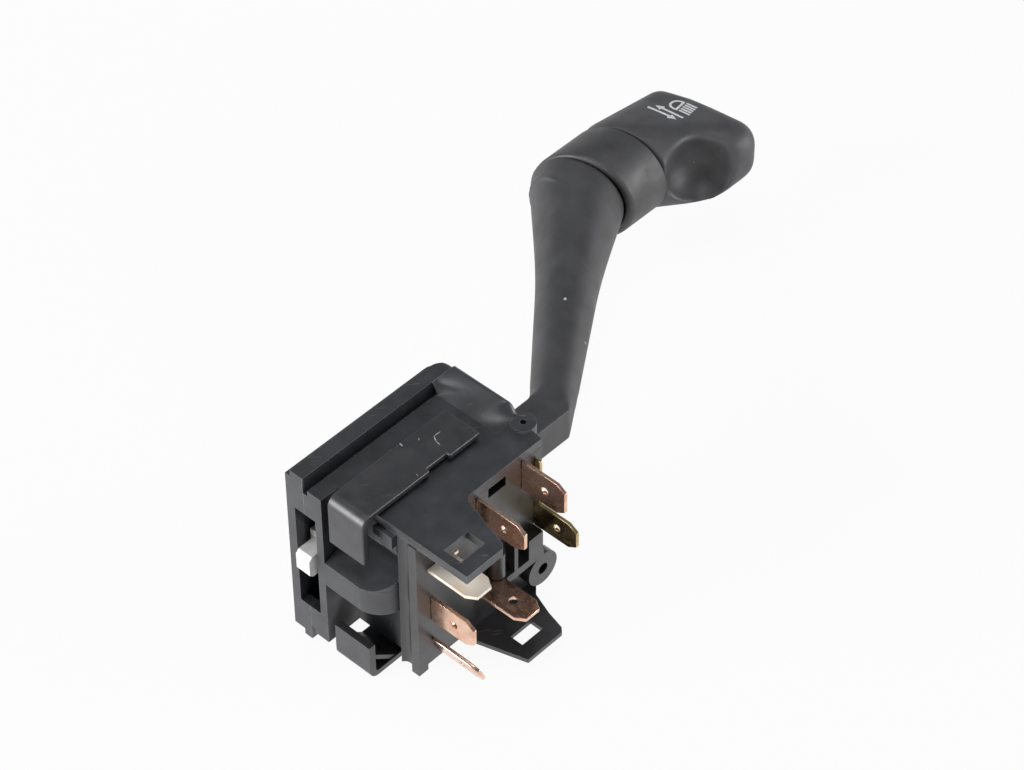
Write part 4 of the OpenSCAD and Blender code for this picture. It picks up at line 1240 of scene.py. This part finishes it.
@dataclass
class Knob:
    """The winged light-switch knob with its printed symbols.

    The ring's place is in metres; the other sizes are in millimetres and degrees. A corner
    is X, Y and the radius of its two balls. A roll pass is the reach from the hollow's wall,
    the lowest Z and the number of smoothing passes.
    """

    ring: Vector = field(default_factory=lambda: point(104.167, 26.507, 0))
    turn: float = 14.0
    disc_radius: float = 10.8
    disc_span: Span = (0.5, 2.7)
    disc_sides: int = 96
    half_wing: float = 7.3
    corners: tuple[Triple, ...] = (
        (18.3, -0.4, 4.5),
        (18.6, -5.8, 4.6),
        (18.0, -10.8, 4.9),
        (16.8, -17.9, 5.4),
        (8.6, -16.3, 4.5),
    )
    corner_segments: tuple[int, int] = (40, 24)
    hollow_place: Triple = (5.3, -17.3, 1.5)
    hollow_radius: float = 8.2
    hollow_segments: tuple[int, int] = (64, 40)
    voxel: float = 0.32
    passes: int = 8
    roll_start: float = 1.0
    roll_passes: tuple[tuple[float, float, int], ...] = (
        (3.8, -1.0, 170),
        (4.8, -4.0, 60),
        (6.0, -9.0, 20),
    )

    def to_frame(self) -> Matrix:
        """Gives the matrix from the knob's own axes to the frame."""
        turned = Matrix.Rotation(math.radians(self.turn), 4, "Z")
        return Matrix.Translation(self.ring) @ turned

    def hull(self) -> Mesh:
        """Makes the closed outer form, in the knob's axes, from its corners and its disc."""
        seeds = bmesh.new()
        for x, y, radius in self.corners:
            for side in (-1, 1):
                middle = point(x, y, side * (self.half_wing - radius))
                ball(seeds, middle, radius * MM, self.corner_segments)
        near, far = (point(reach, 0, 0) for reach in self.disc_span)
        rod(seeds, near, far, self.disc_radius * MM, self.disc_sides)
        bm = bmesh.new()
        for seed in seeds.verts:
            bm.verts.new(seed.co)
        seeds.free()
        made = bmesh.ops.convex_hull(bm, input=bm.verts)
        spare = {v for v in made["geom_unused"] + made["geom_interior"] if v.is_valid}
        bmesh.ops.delete(bm, geom=list(spare), context="VERTS")
        return bm

    def shell(self) -> Mesh:
        """Hollows, remeshes and smooths the knob, and turns it into the frame's axes."""
        hollow = bmesh.new()
        ball(hollow, point(*self.hollow_place), self.hollow_radius * MM, self.hollow_segments)
        bm = joined_mesh(self.hull(), hollow, self.voxel * MM)
        self.roll_rim(bm)
        bmesh.ops.transform(bm, matrix=self.to_frame(), verts=bm.verts)
        return bm

    def roll_rim(self, bm: Mesh) -> None:
        """Smooths the whole knob a little and the rim of its finger hollow far more."""
        hollow = point(*self.hollow_place)
        relax(bm, list(bm.verts), self.passes)
        for reach, low, passes in self.roll_passes:
            near = [
                v
                for v in bm.verts
                if abs((v.co - hollow).length - self.hollow_radius * MM) < reach * MM
                and v.co.x > self.roll_start * MM
                and v.co.z > low * MM
            ]
            relax(bm, near, passes)

    def build(self) -> None:
        """Makes the knob's pieces."""
        shell = self.shell()
        skin = BVHTree.FromBMesh(shell)
        look = ("knob", "knob_black", Finish.KNOB)
        Piece("light_knob_shell", *look, ("knob_shell",), smooth_angle=60).add(shell)
        Symbols(self.to_frame(), skin).build()


# ---- inside pieces and the whole


INSIDE: dict[Finish, tuple[str, ...]] = {
    Finish.SLIDER: ("detent_cam", "turn_slider", "dip_slider"),
    Finish.YOKE: ("yoke",),
    Finish.STEEL: ("hinge_pin", "turn_plunger"),
    Finish.PAWL: ("pawl",),
    Finish.SPRING: ("pawl_spring", "turn_spring", "dip_spring", "knob_clip"),
    Finish.BRASS: ("turn_wiper", "dip_wiper", "light_wiper"),
    Finish.BOARD: ("light_contacts",),
    Finish.LEAD: ("light_leads",),
    Finish.KNOB: ("knob_axle",),
}


def dress_nodes() -> None:
    """Gives the CAD nodes that stay their own finish."""
    for finish, nodes in INSIDE.items():
        for node in nodes:
            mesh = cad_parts[node].data
            mesh.materials.clear()
            mesh.materials.append(paint(finish))


def main() -> None:
    """Builds the studio and every piece in order."""
    logging.basicConfig(level=logging.INFO, format="%(name)s: %(message)s")
    Studio().build()
    dress_nodes()
    Housing().build()
    Terminals().build()
    Latches().build()
    Lever().build()
    Knob().build()


if __name__ == "__main__":
    main()
